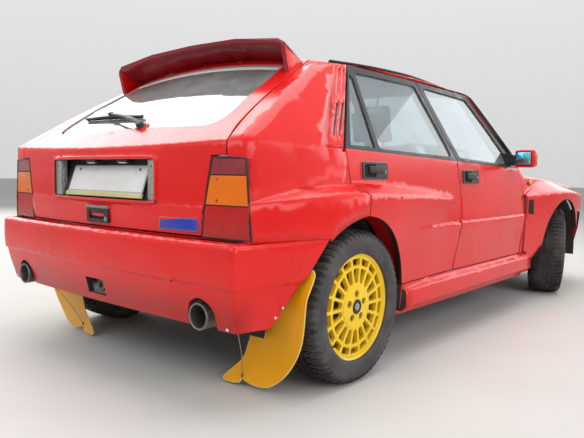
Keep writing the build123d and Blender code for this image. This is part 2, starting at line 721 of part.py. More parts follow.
ball_stud = rod_z(16, ball_z - 18, ball_z + 14, arm_end_x + 6, 0)
lower_arm = fused(prism_z(arm_outline, ball_z - 12, ball_z + 8), ball_stud)
front_side = fused(strut_right, strut_top, lower_arm)
front_side = front_side.moved(Location((0, front_axle_y, 0)))
front_beam = box(-370, 370, front_axle_y - 190, front_axle_y + 130, ball_z - 16, 226)
mount_y = front_axle_y + 50
mount_x = front_well_inner_x - liner
mount_low_z = 174
front_mount = box(mount_x - 30, mount_x, mount_y, mount_y + 60, mount_low_z, 300)
front_suspension = fused(front_side, mirrored(front_side), front_beam,
                         box(-mount_x, mount_x, mount_y, mount_y + 60, mount_low_z, 226),
                         front_mount, mirrored(front_mount))

rear_pad_z = arch_z + sqrt(rear_arch_radius ** 2 - strut_pad ** 2) - seat_gap
rear_carrier = fused(carrier.moved(Location((wheel_x, 0, wheel_z))),
                     box(axis_x(345) - 8, wheel_x - 16, -34, 34, 210, 404), strut_rod(370, 632, strut_radius),
                     strut_rod(596, 612, 58), rod_z(strut_pad, 622, rear_pad_z, axis_x(636), 0))
rear_links = fused(rod((200, -110, 232), (656, -24, 232), 15), rod((200, 110, 232), (656, 24, 232), 15))
rear_side = fused(rear_carrier, rear_links).moved(Location((0, rear_axle_y, 0)))
rear_beam = box(-230, 230, rear_axle_y - 130, rear_axle_y + 130, 190, 224)
boot_under_z = boot_floor_z - boot_floor
rear_mounts = []
for x in (-200, 200):
    rear_mounts.append(box(x - 24, x + 24, rear_axle_y - 130, rear_axle_y - 90, 224, boot_under_z))
rear_suspension = fused(rear_side, mirrored(rear_side), rear_beam, *rear_mounts)


# Drive line, tank and exhaust

axle_centre_z = wheel_z
prop_z = 262
half_shaft_x = axis_x(axle_centre_z)
engine = box(-300, 260, 1010, 1440, 232, 690)
gearbox = box(-210, 210, 960, 1010, 232, 400)
engine = fused(engine, gearbox)
radiator = box(-330, 330, 1716, 1756, 328, 690)
prop_shaft = rod_y(32, rear_axle_y + 120, 960, 0, prop_z)
differential = box(-95, 95, rear_axle_y - 110, rear_axle_y + 120, 246, 360)
rear_shaft = rod((95, rear_axle_y, axle_centre_z), (wheel_x - 30, rear_axle_y, axle_centre_z), 14)
front_shaft = rod((210, 985, axle_centre_z), (half_shaft_x, front_axle_y, axle_centre_z), 13)
joint_ball = Solid.make_sphere(24, Plane((half_shaft_x, front_axle_y, axle_centre_z)))
front_shaft = fused(front_shaft, joint_ball)
front_shafts = [shape - engine for shape in pair(front_shaft)]
drive_line = fused(prop_shaft, differential, *front_shafts)
rear_half_shafts = cut(rear_shaft, rear_suspension)
drive_line = fused(drive_line, rear_half_shafts, mirrored(rear_half_shafts))
tank = cut(box(-430, 430, -1180, boot_front_y - boot_floor - 6, 214, boot_under_z),
           box(-70, 70, -1200, -1000, 200, 330))

silencer_y = -1732
silencer_z = 318
silencer = rod_x(78, -330, 330, silencer_y, silencer_z)
tail_pipe_radius = 26
tip_radius = 47
outlet = fused(rod_x(tail_pipe_radius, 330, tip_x, silencer_y, silencer_z),
               Solid.make_sphere(tail_pipe_radius, Plane((tip_x, silencer_y, silencer_z))),
               rod_y(tail_pipe_radius, silencer_y - 60, silencer_y, tip_x, silencer_z),
               rod_y(tip_radius, -1916, silencer_y - 44, tip_x, tip_z))
outlet = outlet - rod_y(tip_radius - 6, -1930, silencer_y - 50, tip_x, tip_z)
pipe_route = [(-130, 900, 205), (-130, 560, 150), (-130, -1000, 150), (-262, -1180, 168), (-262, -1500, 168),
              (-262, silencer_y, 300)]
pipe = fused(*[rod(start, end, 24) for start, end in zip(pipe_route, pipe_route[1:])],
             *[Solid.make_sphere(26, Plane(point)) for point in pipe_route[1:-1]])
hangers = []
for x in (-200, 200):
    hangers.append(box(x - 12, x + 12, silencer_y - 12, silencer_y + 12, 380, boot_under_z))
exhaust = fused(silencer, outlet, mirrored(outlet), pipe, *hangers)

shaft_hole = 30
front_hole = rod_x(shaft_hole, front_well_inner_x - 60, front_well_inner_x + 20, 1082, axle_centre_z)
rear_hole = box(well_inner_x - 40, well_inner_x + 10, rear_axle_y - 150, rear_axle_y + 150, 190, 345)
shell = cut(shell, front_hole, mirrored(front_hole), rear_hole, mirrored(rear_hole))

# Mud flaps and tow eyes

flap_y = -1642
flap_thick = 5
flap_top_z = arch_z + sqrt((rear_arch_radius - seat_gap) ** 2 - (rear_axle_y - flap_y) ** 2)
flap_outline = [(590, flap_top_z), (863, flap_top_z), (862, 400), (847, 281), (829, 216), (799, 153),
                (751, 91), (666, 27), (552, 31), (546, 98), (574, 165), (587, 218)]
flap = prism_y(flap_outline, flap_y, flap_y + flap_thick)
eye_thick = 12
eye_radius = 12
eye_ring = 26


def tow_eye(x, y, z, sign, seat_y, seat_z):
    """Ring that faces outwards on a strap; the strap's top lies against the metal above it."""
    out_y = y + sign * eye_thick / 2
    in_y = y - sign * eye_thick / 2
    near, far = sorted((in_y, out_y))
    ring_part = rod_y(eye_ring, near, far, x, z)
    upright_part = box(x - 20, x + 20, near, far, z, seat_z)
    strap = box(x - 20, x + 20, min(seat_y, out_y), max(seat_y, out_y), seat_z - eye_thick, seat_z)
    return fused(ring_part, upright_part, strap) - rod_y(eye_radius, near - 2, far + 2, x, z)


rear_eye = tow_eye(0, -1890, 345, -1, -1790, boot_under_z)
front_eye = tow_eye(-250, 1896, 268, 1, cross_front_y - 50, cross_low_z)

# Inside

seat_x = 370
seat_half = 245
cushion = box(seat_x - seat_half, seat_x + seat_half, -330, 170, 300, 440)
rails = fused(box(seat_x - 215, seat_x - 180, -300, 150, cabin_floor_z, 300),
              box(seat_x + 180, seat_x + 215, -300, 150, cabin_floor_z, 300))
back_outline = [(-330, 440), (-210, 440), (-450, 960), (-560, 960)]
seat_back = prism_x(back_outline, seat_x - seat_half, seat_x + seat_half)
head_rest = prism_x([(-478, 960), (-548, 960), (-590, 1130), (-520, 1130)], seat_x - 120, seat_x + 120)
front_seat = fused(cushion, rails, seat_back, head_rest)
seat_tunnel = box(-tunnel_x - gap, tunnel_x + gap, -1000, -400, 200, tunnel_top_z + gap)
rear_seat = fused(box(-600, 600, -935, -480, cabin_floor_z, 430) - seat_tunnel,
                  prism_x([(-945, 430), (-800, 430), (-880, 900), (-1010, 900)], -600, 600))
shelf_z = 842
shelf = fused(box(-800, 800, -1640, -1366, shelf_z, shelf_z + 12) & cabin,
              box(-690, 690, -1367, -1030, shelf_z, shelf_z + 12))
dash = prism_x([(540, 600), (540, 880), (470, 880), (330, 830), (330, 720), (400, 600)], -690, 690) & cabin
wheel_tilt = radians(25)
steering_centre = (-seat_x, 205, 790)
steering_plane = Plane(origin=steering_centre, z_dir=(0, cos(wheel_tilt), -sin(wheel_tilt)))
rim_ring = Solid.make_torus(178, 14, steering_plane)
boss_length = 46
boss = Solid.make_cylinder(42, boss_length, steering_plane)
bars = []
for angle in (0, 180, 270):
    bar = Solid.make_box(150, 30, 10, Plane((30, -15, 8))).rotate(Axis.Z, angle)
    bars.append(bar.moved(steering_plane.location))
steering_wheel = fused(rim_ring, boss, *bars)
column_start = boss_length + seat_gap
column = Solid.make_cylinder(22, 96, steering_plane.offset(column_start))
dash = fused(dash, column)

# Mirrors

mirror_head = prism_z([(830, 268), (946, 268), (950, 282), (938, 345), (840, 352), (830, 340)], 857, 959)
mirror_foot = prism_x([(290, 862), (385, 862), (385, 880), (318, 936), (290, 936)], 700, 832)
mirror = fused(mirror_head, mirror_foot) - outer

if __name__ == "__main__":
    os.makedirs("parts", exist_ok=True)
    nodes = {
        "body_shell": [shell], "roof_panel": [roof], "windscreen": [windscreen],
        "front_fenders": pair(fender),
        "rear_bumper": [rear_bumper], "front_bumper": [front_bumper], "grille": [nose], "headlamps": lamps,
        "tail_lamps": pair(tail_lamp), "mud_flaps": pair(flap), "front_suspension": [front_suspension],
        "rear_suspension": [rear_suspension], "drive_line": [drive_line], "fuel_tank": [tank],
        "exhaust": [exhaust], "engine": [engine], "radiator": [radiator], "front_seats": pair(front_seat),
        "rear_seat": [rear_seat], "dashboard": [dash], "parcel_shelf": [shelf],
        "tow_eyes": [rear_eye, front_eye],
        "bonnet": [bonnet], "tailgate": [tailgate], "tailgate_glass": [tailgate_glass],
        "roof_spoiler": [spoiler], "steering_wheel": [steering_wheel],
    }
    for side, name in ((1, "right"), (-1, "left")):
        def on_side(shape):
            return shape if side > 0 else mirrored(shape)
        nodes[f"{name}_front_door"] = [on_side(front_door)]
        nodes[f"{name}_rear_door"] = [on_side(rear_door)]
        nodes[f"{name}_front_door_glass"] = [on_side(shape) for shape in front_door_glass]
        nodes[f"{name}_rear_door_glass"] = [on_side(shape) for shape in rear_door_glass]
        nodes[f"{name}_mirror"] = [on_side(mirror)]
        nodes[f"{name}_front_tyre"] = [steered(placed(tyre, side, front_axle_y), side)]
        nodes[f"{name}_front_rim"] = [steered(placed(rim, side, front_axle_y), side)]
        nodes[f"{name}_rear_tyre"] = [placed(tyre, side, rear_axle_y)]
        nodes[f"{name}_rear_rim"] = [placed(rim, side, rear_axle_y)]
        nodes[f"{name}_knuckle"] = [steered(on_side(knuckle_right), side)]
    for node, shapes in nodes.items():
        found = all_solids(shapes)
        print(node, len(found), [round(s.volume / 1e6, 3) for s in found])
        save(node, *shapes)
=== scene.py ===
import bpy
import bmesh
import json
import numpy as np
from math import cos, exp, hypot, pi, radians, sin
from mathutils import Matrix, Vector
from mathutils.bvhtree import BVHTree

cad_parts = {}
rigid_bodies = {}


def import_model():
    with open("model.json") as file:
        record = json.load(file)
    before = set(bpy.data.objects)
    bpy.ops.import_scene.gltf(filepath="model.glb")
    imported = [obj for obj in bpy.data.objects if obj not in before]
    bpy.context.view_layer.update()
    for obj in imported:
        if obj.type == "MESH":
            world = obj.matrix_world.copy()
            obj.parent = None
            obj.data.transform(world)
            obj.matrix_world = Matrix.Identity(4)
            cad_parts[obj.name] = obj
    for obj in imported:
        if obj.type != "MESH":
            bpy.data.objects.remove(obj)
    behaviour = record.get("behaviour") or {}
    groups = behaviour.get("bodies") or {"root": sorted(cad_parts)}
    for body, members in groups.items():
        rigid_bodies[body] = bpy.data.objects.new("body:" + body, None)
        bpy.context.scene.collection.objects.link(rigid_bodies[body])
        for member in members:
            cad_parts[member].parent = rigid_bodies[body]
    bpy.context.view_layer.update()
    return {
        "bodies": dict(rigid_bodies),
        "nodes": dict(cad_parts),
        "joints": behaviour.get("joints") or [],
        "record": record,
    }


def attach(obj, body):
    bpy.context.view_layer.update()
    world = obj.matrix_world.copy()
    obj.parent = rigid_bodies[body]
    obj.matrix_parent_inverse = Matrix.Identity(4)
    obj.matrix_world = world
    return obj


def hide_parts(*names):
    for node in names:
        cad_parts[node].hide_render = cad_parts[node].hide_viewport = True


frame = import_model()
nodes = frame["nodes"]
jointNamed = {joint["name"]: joint for joint in frame["joints"]}
bodyOf = {node: body for body, names in frame["record"]["behaviour"]["bodies"].items() for node in names}
slotOf = {row["node"]: row["material_slot"] for row in frame["record"]["subparts"]}
sides = {"right": 1, "left": -1}

# Measures of the car that several pieces share, in metres
car = {
    "frontAxleY": 1.16,
    "rearAxleY": -1.32,
    "archZ": 0.29,
    "frontArch": 0.372,
    "rearArch": 0.355,
    "wellEdgeX": 0.8,
    "beltRear": (-1.347, 0.896),      # y and z of the belt line's two ends
    "beltFront": (0.47, 0.852),
}


def grey(value):
    return (value, value, value)


class Look:
    # Short ways to add nodes to the tree of a material or of the world
    def __init__(self, owner, shader="Principled BSDF", coordinates="Object"):
        owner.use_nodes = True
        self.owner = owner
        self.tree = owner.node_tree
        self.shader = self.tree.nodes[shader]
        self.place = self.add("TexCoord").outputs[coordinates]

    def add(self, kind, **values):
        node = self.tree.nodes.new("ShaderNode" + kind)
        for key, value in values.items():
            setattr(node, key, value)
        return node

    def feed(self, sockets, *values):      # each value is a number, a colour or another node's output
        for socket, value in zip(sockets, values):
            if isinstance(value, (int, float)):
                socket.default_value = value
            elif isinstance(value, tuple):
                socket.default_value = (*value, 1)
            else:
                self.tree.links.new(value, socket)

    def feedNamed(self, node, **values):
        self.feed([node.inputs[name] for name in values], *values.values())

    def set(self, name, value):
        self.feed([self.shader.inputs[name]], value)

    def noise(self, scale, detail=4.0, stretch=None, distortion=0.0):
        noise, place = self.add("TexNoise"), self.place
        if stretch:
            mapping = self.add("Mapping")
            mapping.inputs["Scale"].default_value = stretch
            self.tree.links.new(place, mapping.inputs["Vector"])
            place = mapping.outputs["Vector"]
        self.feedNamed(noise, Vector=place, Scale=scale, Detail=detail, Distortion=distortion)
        return noise.outputs["Fac"]

    def ramp(self, value, *stops):         # two stops, each a position and a shade of grey
        ramp = self.add("ValToRGB")
        for element, (position, shade) in zip(ramp.color_ramp.elements, stops):
            element.position = position
            element.color = (*grey(shade), 1)
        self.feed(ramp.inputs, value)
        return ramp.outputs["Color"]

    def mix(self, factor, first, second):
        mix = self.add("Mix", data_type="RGBA")
        self.feed((mix.inputs[0], mix.inputs[6], mix.inputs[7]), factor, first, second)
        return mix.outputs[2]

    def math(self, operation, first, second=0.0, third=0.0, clamp=False):
        node = self.add("Math", operation=operation, use_clamp=clamp)
        self.feed(node.inputs, first, second, third)
        return node.outputs[0]

    def times(self, first, second):
        return self.math("MULTIPLY", first, second)

    def axis(self, name):
        split = self.add("SeparateXYZ")
        self.feed(split.inputs, self.place)
        return split.outputs[name]

    def fade(self, value, low, high):      # 1 at low, 0 at high
        node = self.add("MapRange", interpolation_type="SMOOTHSTEP")
        for name, amount in (("From Min", low), ("From Max", high), ("To Min", 1), ("To Max", 0)):
            node.inputs[name].default_value = amount
        self.feedNamed(node, Value=value)
        return node.outputs["Result"]

    def bump(self, height, strength, distance, rounding=None):
        # The last step of a material, which it gives back
        bump = self.add("Bump")
        self.feedNamed(bump, Height=height, Strength=strength, Distance=distance)
        if rounding:
            bevel = self.add("Bevel", samples=4)
            bevel.inputs["Radius"].default_value = rounding
            self.tree.links.new(bevel.outputs["Normal"], bump.inputs["Normal"])
        self.set("Normal", bump.outputs["Normal"])
        return self.owner


def startLook(name, roughness, metallic=0.0, specular=0.5):
    look = Look(bpy.data.materials.new(name))
    look.set("Roughness", roughness)
    look.set("Metallic", metallic)
    look.set("Specular IOR Level", specular)
    return look


# Finishes

def makePaint(name, colour, deep, dust, rounding, coat=0.45, specular=0.1):
    # Car paint: soft tone changes, painted shade low on the tail, road film low down, stone chips and orange
    # peel
    look = startLook(name, 0.3, specular=specular)
    look.set("Coat Weight", coat)
    look.set("Coat Roughness", 0.13)
    tone = look.mix(look.ramp(look.noise(2.2, 3), (0.35, 0), (0.7, 1)), colour, deep)
    height = look.axis("Z")
    # Darker red low on the tail's bumper: painted shade under the tail, partly dust
    tail = look.times(look.fade(height, 0.3, 0.437), look.fade(look.axis("Y"), -1.88, -1.8))
    tone = look.mix(look.times(tail, 0.75), tone, (0.34, 0.012, 0.01))
    streaks = look.ramp(look.noise(9, 6, (1, 1, 0.4)), (0.38, 0.05), (0.72, 0.55))
    film = look.times(look.fade(height, 0.22, 0.6), streaks)
    tone = look.mix(look.times(film, dust), tone, (0.26, 0.19, 0.15))
    chips = look.times(look.ramp(look.noise(160, 2), (0.735, 0), (0.76, 1)), look.fade(height, 0.2, 0.75))
    look.set("Base Color", look.mix(look.times(chips, 0.3), tone, (0.55, 0.27, 0.23)))
    haze = look.ramp(look.noise(5, 5), (0.35, 0.22), (0.75, 0.36))
    look.set("Roughness", look.math("MULTIPLY_ADD", film, 0.45, haze))
    return look.bump(look.noise(260, 2), 0.06, 0.0006, rounding)


def cloudLook(look, cloud, colour, worn, toneStops, roughStops):
    # One cloud pattern carries both the worn colour and the rougher patches
    look.set("Base Color", look.mix(look.ramp(cloud, *toneStops), colour, worn))
    look.set("Roughness", look.ramp(cloud, *roughStops))


def makePlastic(name, colour, worn, roughness, grain=900, depth=0.0003, rounding=None):
    look = startLook(name, roughness, specular=0.35)
    smooth, rough = max(roughness - 0.12, 0.05), min(roughness + 0.15, 1)
    cloudLook(look, look.noise(14, 5), colour, worn, ((0.35, 0), (0.75, 0.8)), ((0.3, smooth), (0.7, rough)))
    return look.bump(look.noise(grain, 3), 0.25, depth, rounding)


def makeMetal(name, colour, stain, roughness, metallic=1, stainScale=18, rounding=None):
    look = startLook(name, roughness, metallic)
    cloud = look.noise(stainScale, 6, distortion=0.4)
    rough = ((0.35, roughness), (0.75, min(roughness + 0.25, 1)))
    cloudLook(look, cloud, colour, stain, ((0.42, 0), (0.68, 1)), rough)
    return look.bump(look.noise(300, 4), 0.2, 0.0004, rounding)


def makeRubber(name, colour, dusty, dustLow, dustHigh, grain=220):
    look = startLook(name, 0.8, specular=0.25)
    cloud = look.noise(11, 7, distortion=0.6)
    cloudLook(look, cloud, colour, dusty, ((dustLow, 0), (dustHigh, 1)), ((0.3, 0.62), (0.7, 0.92)))
    return look.bump(look.noise(grain, 5), 0.35, 0.0008)


def makeGlass(name, tintAndPaintedSky, dustAndReflectionAmount):
    # Window glass: its bluish tint is partly the glass's own and partly a painted sky reflection, and its
    # pale film is partly dust and partly a painted reflection
    look = startLook(name, 0.0)
    film = look.noise(7, 6)
    cloudLook(look, film, tintAndPaintedSky, (0.5, 0.52, 0.5), ((0.4, 0), (0.8, 0.5)), ((0.35, 0.0), (0.8, 0.08)))
    look.set("IOR", 1.5)
    look.set("Transmission Weight", look.ramp(film, (0.3, 1 - dustAndReflectionAmount * 0.4), (0.75, 1 - dustAndReflectionAmount)))
    return look.bump(look.noise(3.5, 1), 0.05, 0.01)


def makeLens(name, colour, edge, ribs=60, seeThrough=0.05):
    # Lamp lens: coloured plastic with moulded ribs
    look = startLook(name, 0.12, specular=0.3)
    look.set("Transmission Weight", seeThrough)
    look.set("Coat Weight", 0.25)
    look.set("Coat Roughness", 0.04)
    wave = look.add("TexWave", bands_direction="X")
    look.feedNamed(wave, Vector=look.place, Scale=ribs)
    tone = look.mix(look.ramp(look.noise(16, 3), (0.3, 0), (0.75, 1)), colour, edge)
    look.set("Base Color", look.mix(look.times(wave.outputs["Fac"], 0.3), tone, edge))
    return look.bump(wave.outputs["Fac"], 0.25, 0.0008)


def makeFabric(name, colour, thread, weaveScale=420):
    look = startLook(name, 0.9, specular=0.2)
    look.set("Sheen Weight", 0.3)
    weave = look.add("TexChecker")
    look.feedNamed(weave, Vector=look.place, Scale=weaveScale)
    tone = look.mix(look.times(weave.outputs["Fac"], 0.5), colour, thread)
    look.set("Base Color", look.mix(look.times(look.noise(20, 4), 0.3), tone, thread))
    return look.bump(weave.outputs["Fac"], 0.3, 0.0006)


def makeFlap(name):
    # Mud flap sheet: clear yellow outside and below, darker brown and rougher high up and inwards
    look = startLook(name, 0.42, specular=0.2)
    sideways = look.axis("X")
    across = look.math("ABSOLUTE", sideways)
    high = look.fade(look.axis("Z"), 0.31, 0.13)
    # Mask for the darker, rougher brown high up and inwards on each sheet
    mud = look.math("MULTIPLY", high, look.fade(across, 0.6, 0.8), clamp=True)
    mud = look.times(mud, look.ramp(look.noise(8, 6, (1, 1, 1.4), 0.3), (0.28, 0.45), (0.62, 1)))
    film = look.ramp(look.noise(22, 6), (0.45, 0), (0.8, 0.2))
    tone = look.mix(mud, (0.95, 0.41, 0.003), (0.2, 0.1, 0.04))
    tone = look.mix(film, tone, (0.8, 0.46, 0.09))
    left = look.times(look.fade(sideways, -0.2, 0.2), 0.35)
    look.set("Base Color", look.mix(left, tone, (0.62, 0.42, 0.17)))
    look.set("Roughness", look.ramp(mud, (0.0, 0.35), (0.7, 0.8)))
    return look.bump(look.noise(34, 5), 0.2, 0.002)


finishes = {      # the function that makes each, and its values
    "paint": (makePaint, (0.74, 0.011, 0.01), (0.66, 0.009, 0.008), 0.22, 0.004),
    # Darker wine copy of the body paint for the spoiler's underside and upper end plates: painted shade
    "spoilerPaint": (makePaint, (0.3, 0.02, 0.03), (0.22, 0.016, 0.024), 0.5, 0.003),
    "innerPaint": (makePaint, (0.45, 0.016, 0.014), (0.35, 0.013, 0.012), 1.0, None, 0.2),
    "rim": (makePaint, (0.93, 0.62, 0.01), (0.86, 0.54, 0.01), 0.2, 0.0015, 0.5),
    "trim": (makePlastic, (0.018, 0.016, 0.017), (0.042, 0.038, 0.04), 0.42, 900, 0.0003, 0.0015),
    "gloss": (makePlastic, (0.014, 0.013, 0.014), (0.03, 0.028, 0.03), 0.2, 1500, 0.0001),
    "seal": (makePlastic, (0.075, 0.07, 0.072), (0.15, 0.14, 0.14), 0.5),
    "greyTrim": (makePlastic, (0.2, 0.19, 0.19), (0.3, 0.29, 0.28), 0.5),
    "liner": (makePlastic, (0.018, 0.016, 0.015), (0.05, 0.042, 0.035), 0.85, 60, 0.002),
    "under": (makePlastic, (0.03, 0.027, 0.026), (0.09, 0.072, 0.06), 0.9, 45, 0.003),
    "cabin": (makePlastic, (0.026, 0.025, 0.027), (0.042, 0.04, 0.042), 0.75),
    "carpet": (makeFabric, (0.022, 0.022, 0.024), (0.055, 0.055, 0.058), 900),
    "headLining": (makeFabric, (0.3, 0.29, 0.28), (0.36, 0.35, 0.33)),
    "seat": (makeFabric, (0.03, 0.031, 0.036), (0.085, 0.09, 0.1)),
    "seatMiddle": (makeFabric, (0.06, 0.062, 0.068), (0.15, 0.15, 0.16), 260),
    # The glass tints' blue and the film amounts stand partly for painted sky reflections
    "clearGlass": (makeGlass, (0.68, 0.81, 0.87), 0.22),
    "rearGlass": (makeGlass, (0.6, 0.66, 0.66), 0.42),
    "tread": (makeRubber, (0.02, 0.019, 0.02), (0.095, 0.085, 0.078), 0.4, 0.72),
    "sidewall": (makeRubber, (0.052, 0.048, 0.052), (0.115, 0.105, 0.105), 0.35, 0.7, 160),
    "hose": (makeRubber, (0.018, 0.017, 0.017), (0.05, 0.047, 0.044), 0.5, 0.8),
    "steel": (makeMetal, (0.16, 0.15, 0.145), (0.13, 0.085, 0.06), 0.55, 0.7),
    "disc": (makeMetal, (0.42, 0.41, 0.4), (0.26, 0.2, 0.16), 0.3),
    "exhaust": (makeMetal, (0.2, 0.205, 0.21), (0.15, 0.12, 0.1), 0.38, 0.9, 18, 0.002),
    "soot": (makePlastic, (0.008, 0.008, 0.008), (0.02, 0.018, 0.016), 0.9, 120, 0.001),
    "pipe": (makeMetal, (0.2, 0.125, 0.085), (0.1, 0.055, 0.035), 0.6, 0.5),
    "alloy": (makeMetal, (0.42, 0.42, 0.43), (0.28, 0.27, 0.26), 0.45, 1, 18, 0.004),
    "silver": (makeMetal, (0.42, 0.41, 0.39), (0.22, 0.21, 0.2), 0.45, 0.6, 150),
    "chrome": (makeMetal, (0.8, 0.8, 0.8), (0.7, 0.7, 0.7), 0.08),
    "flap": (makeFlap,),
    # Paler yellow of the flaps' rims: partly wear, partly a painted highlight along the edge
    "flapEdge": (makePlastic, (0.86, 0.62, 0.16), (0.74, 0.52, 0.16), 0.45, 200),
    "lensTop": (makeLens, (0.22, 0.018, 0.028), (0.32, 0.035, 0.05)),
    "lensAmber": (makeLens, (0.88, 0.17, 0.002), (0.72, 0.16, 0.006)),
    "lensRed": (makeLens, (0.38, 0.006, 0.006), (0.56, 0.012, 0.01)),
    "lensClear": (makeLens, (0.86, 0.88, 0.89), (0.7, 0.74, 0.76), 110, 0.92),
    "plate": (makePlastic, (0.76, 0.76, 0.75), (0.66, 0.66, 0.64), 0.35),
    "plateStrip": (makePlastic, (0.6, 0.53, 0.25), (0.5, 0.44, 0.21), 0.4),
    "badge": (makePlastic, (0.018, 0.042, 0.4), (0.03, 0.065, 0.48), 0.3),
    "mirror": (makeMetal, (0.2, 0.62, 0.82), (0.25, 0.66, 0.84), 0.06),
    "pale": (makePlastic, (0.4, 0.16, 0.15), (0.48, 0.19, 0.19), 0.35),
    "whiteEdge": (makePlastic, (0.7, 0.69, 0.66), (0.6, 0.59, 0.56), 0.4),
    "calliper": (makeMetal, (0.2, 0.02, 0.016), (0.12, 0.05, 0.04), 0.5, 0.2),
}
finish = {name: make(name, *values) for name, (make, *values) in finishes.items()}
print("finishes", len(finish))


# Small helpers for meshes

def addPiece(name, shape, body, slotName, materials, smoothAngle, replaced):
    mesh = bpy.data.meshes.new(name)
    shape.to_mesh(mesh)
    shape.free()
    piece = bpy.data.objects.new(name, mesh)
    bpy.context.scene.collection.objects.link(piece)
    for material in materials:
        mesh.materials.append(finish[material])
    mesh.polygons.foreach_set("use_smooth", [True] * len(mesh.polygons))
    mesh.set_sharp_from_angle(angle=radians(smoothAngle))
    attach(piece, body)
    if replaced:
        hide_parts(*replaced)
    return piece


def cadCopy(node):
    shape = bmesh.new()
    shape.from_mesh(nodes[node].data)
    bmesh.ops.remove_doubles(shape, verts=shape.verts, dist=2e-5)
    return shape


def finishCopy(node, shape, materials, chooser=None, smoothAngle=24):
    # A worked copy of a node becomes the piece that stands for it
    if chooser:
        for face in shape.faces:
            face.material_index = materials.index(chooser(face))
    addPiece(node + "Finished", shape, bodyOf[node], slotOf[node], materials, smoothAngle, [node])


def cutAt(shape, place, normal):
    everything = shape.verts[:] + shape.edges[:] + shape.faces[:]
    bmesh.ops.bisect_plane(shape, geom=everything, dist=1e-5, plane_co=place, plane_no=normal)


def trianglesOnly(shape):
    bmesh.ops.triangulate(shape, faces=[face for face in shape.faces if len(face.verts) > 3])


def shift(x, y, z=0):
    return Matrix.Translation((x, y, z))


def spun(angle, axis):
    return Matrix.Rotation(angle, 4, axis)


class Build:
    # Collects parts of one piece, each with its own finish, and makes the piece
    def __init__(self):
        self.shape = bmesh.new()
        self.materials = []

    def add(self, part, material, matrix=None, pick=None):
        bmesh.ops.remove_doubles(part, verts=part.verts, dist=1e-6)
        names = [pick(face) if pick else material for face in part.faces]
        self.materials += [name for name in dict.fromkeys(names) if name not in self.materials]
        if matrix is not None:
            part.transform(matrix)
        bmesh.ops.recalc_face_normals(part, faces=part.faces)
        for face, name in zip(part.faces, names):
            face.material_index = self.materials.index(name)
        mesh = bpy.data.meshes.new("part")
        part.to_mesh(mesh)
        part.free()
        self.shape.from_mesh(mesh)
        bpy.data.meshes.remove(mesh)

    def plate(self, size, levels, material, place=None):
        # The size is width, height and corner, the levels are low, high and rounding
        self.add(slabPart(roundedBox(*size), *levels), material, place)

    def disc(self, radius, steps, levels, material, place=None):
        self.add(slabPart(circle(radius, steps), *levels), material, place)

    def row(self, part, count, step, material, place):
        self.add(runTree(part, rowTree, material, {"Count": count, "Step": step}), material, place)

    def ring(self, part, count, material, place):
        self.add(repeatAround(part, count, material), material, place)

    def finish(self, name, body="body", slotName="black_trim", replaced=(), smoothAngle=35):
        return addPiece(name, self.shape, body, slotName, self.materials, smoothAngle, replaced)


def frameAt(place, outward, upward=(0, 0, 1)):
    # Own axes at a place: x sideways, y upwards, z outwards
    out = Vector(outward).normalized()
    side = Vector(upward).cross(out).normalized()
    return Matrix.Translation(place) @ Matrix((side, out.cross(side), out)).transposed().to_4x4()


def seatOn(hit):      # own axes on a place that a ray has found
    return frameAt(*hit)


def facingTail(*place):
    return frameAt(place, (0, -1, 0))


def facingNose(*place):
    return frameAt(place, (0, 1, 0))


def roundCorners(points, radius, steps=4):
    # A closed outline with each corner turned in an arc
    result = []
    for index, point in enumerate(points):
        here = Vector(point)
        before = Vector(points[index - 1]) - here
        after = Vector(points[(index + 1) % len(points)]) - here
        half = before.angle(after) / 2
        reach = min(radius / max(sin(half) / cos(half), 1e-3), before.length * 0.49, after.length * 0.49)
        start, end = here + before.normalized() * reach, here + after.normalized() * reach
        for step in range(steps + 1):
            t = step / steps
            result.append(tuple(start.lerp(here, t).lerp(here.lerp(end, t), t)))
    return result


def tapered(footHalf, topHalf, foot, top, radius, steps=4):
    # Outline with its foot and its top level, each as wide as twice its half, and its corners rounded
    corners = [(-footHalf, foot), (footHalf, foot), (topHalf, top), (-topHalf, top)]
    return roundCorners(corners, radius, steps)


def roundedBox(width, height, radius, steps=4):
    return tapered(width / 2, width / 2, -height / 2, height / 2, radius, steps)


def moved(points, x, y=0):
    return [(a + x, b + y) for a, b in points]


def circle(radius, steps, centre=(0, 0)):
    return [(centre[0] + radius * cos(2 * pi * k / steps), centre[1] + radius * sin(2 * pi * k / steps))
            for k in range(steps)]


def inset(points, amount):
    # Moves a closed outline inwards by an amount, or outwards where it is negative
    total = len(points)
    area = sum(points[k][0] * points[(k + 1) % total][1] - points[(k + 1) % total][0] * points[k][1]
               for k in range(total))
    hand = 1 if area > 0 else -1
    moved = []
    for k in range(total):
        ahead = Vector(points[(k + 1) % total]) - Vector(points[k - 1])
        normal = Vector((-ahead.y, ahead.x)).normalized() * hand
        moved.append((points[k][0] + normal.x * amount, points[k][1] + normal.y * amount))
    return moved


def bridgeRings(shape, first, second):
    total = len(first)
    for k in range(total):
        shape.faces.new((first[k], first[(k + 1) % total], second[(k + 1) % total], second[k]))


def stackPart(rings, looped=False):
    # Skin through rings of points, closed at its ends or from the last ring back to the first
    shape = bmesh.new()
    rows = [[shape.verts.new(point) for point in ring] for ring in rings]
    for low, high in zip(rows, rows[1:] + rows[:looped]):
        bridgeRings(shape, low, high)
    if not looped:
        shape.faces.new(list(reversed(rows[0])))
        shape.faces.new(rows[-1])
    return shape


def slabPart(outline, low, high, rounding=0.0, steps=2):
    # Plate with the outline in x and y, from low to high, its front edge rounded
    rings = [[(x, y, low) for x, y in outline]]
    for step in range(steps + 1 if rounding else 1):
        angle = pi / 2 * step / steps
        ring = inset(outline, rounding * (1 - cos(angle)))
        rings.append([(x, y, high - rounding + rounding * sin(angle)) for x, y in ring])
    return stackPart(rings)


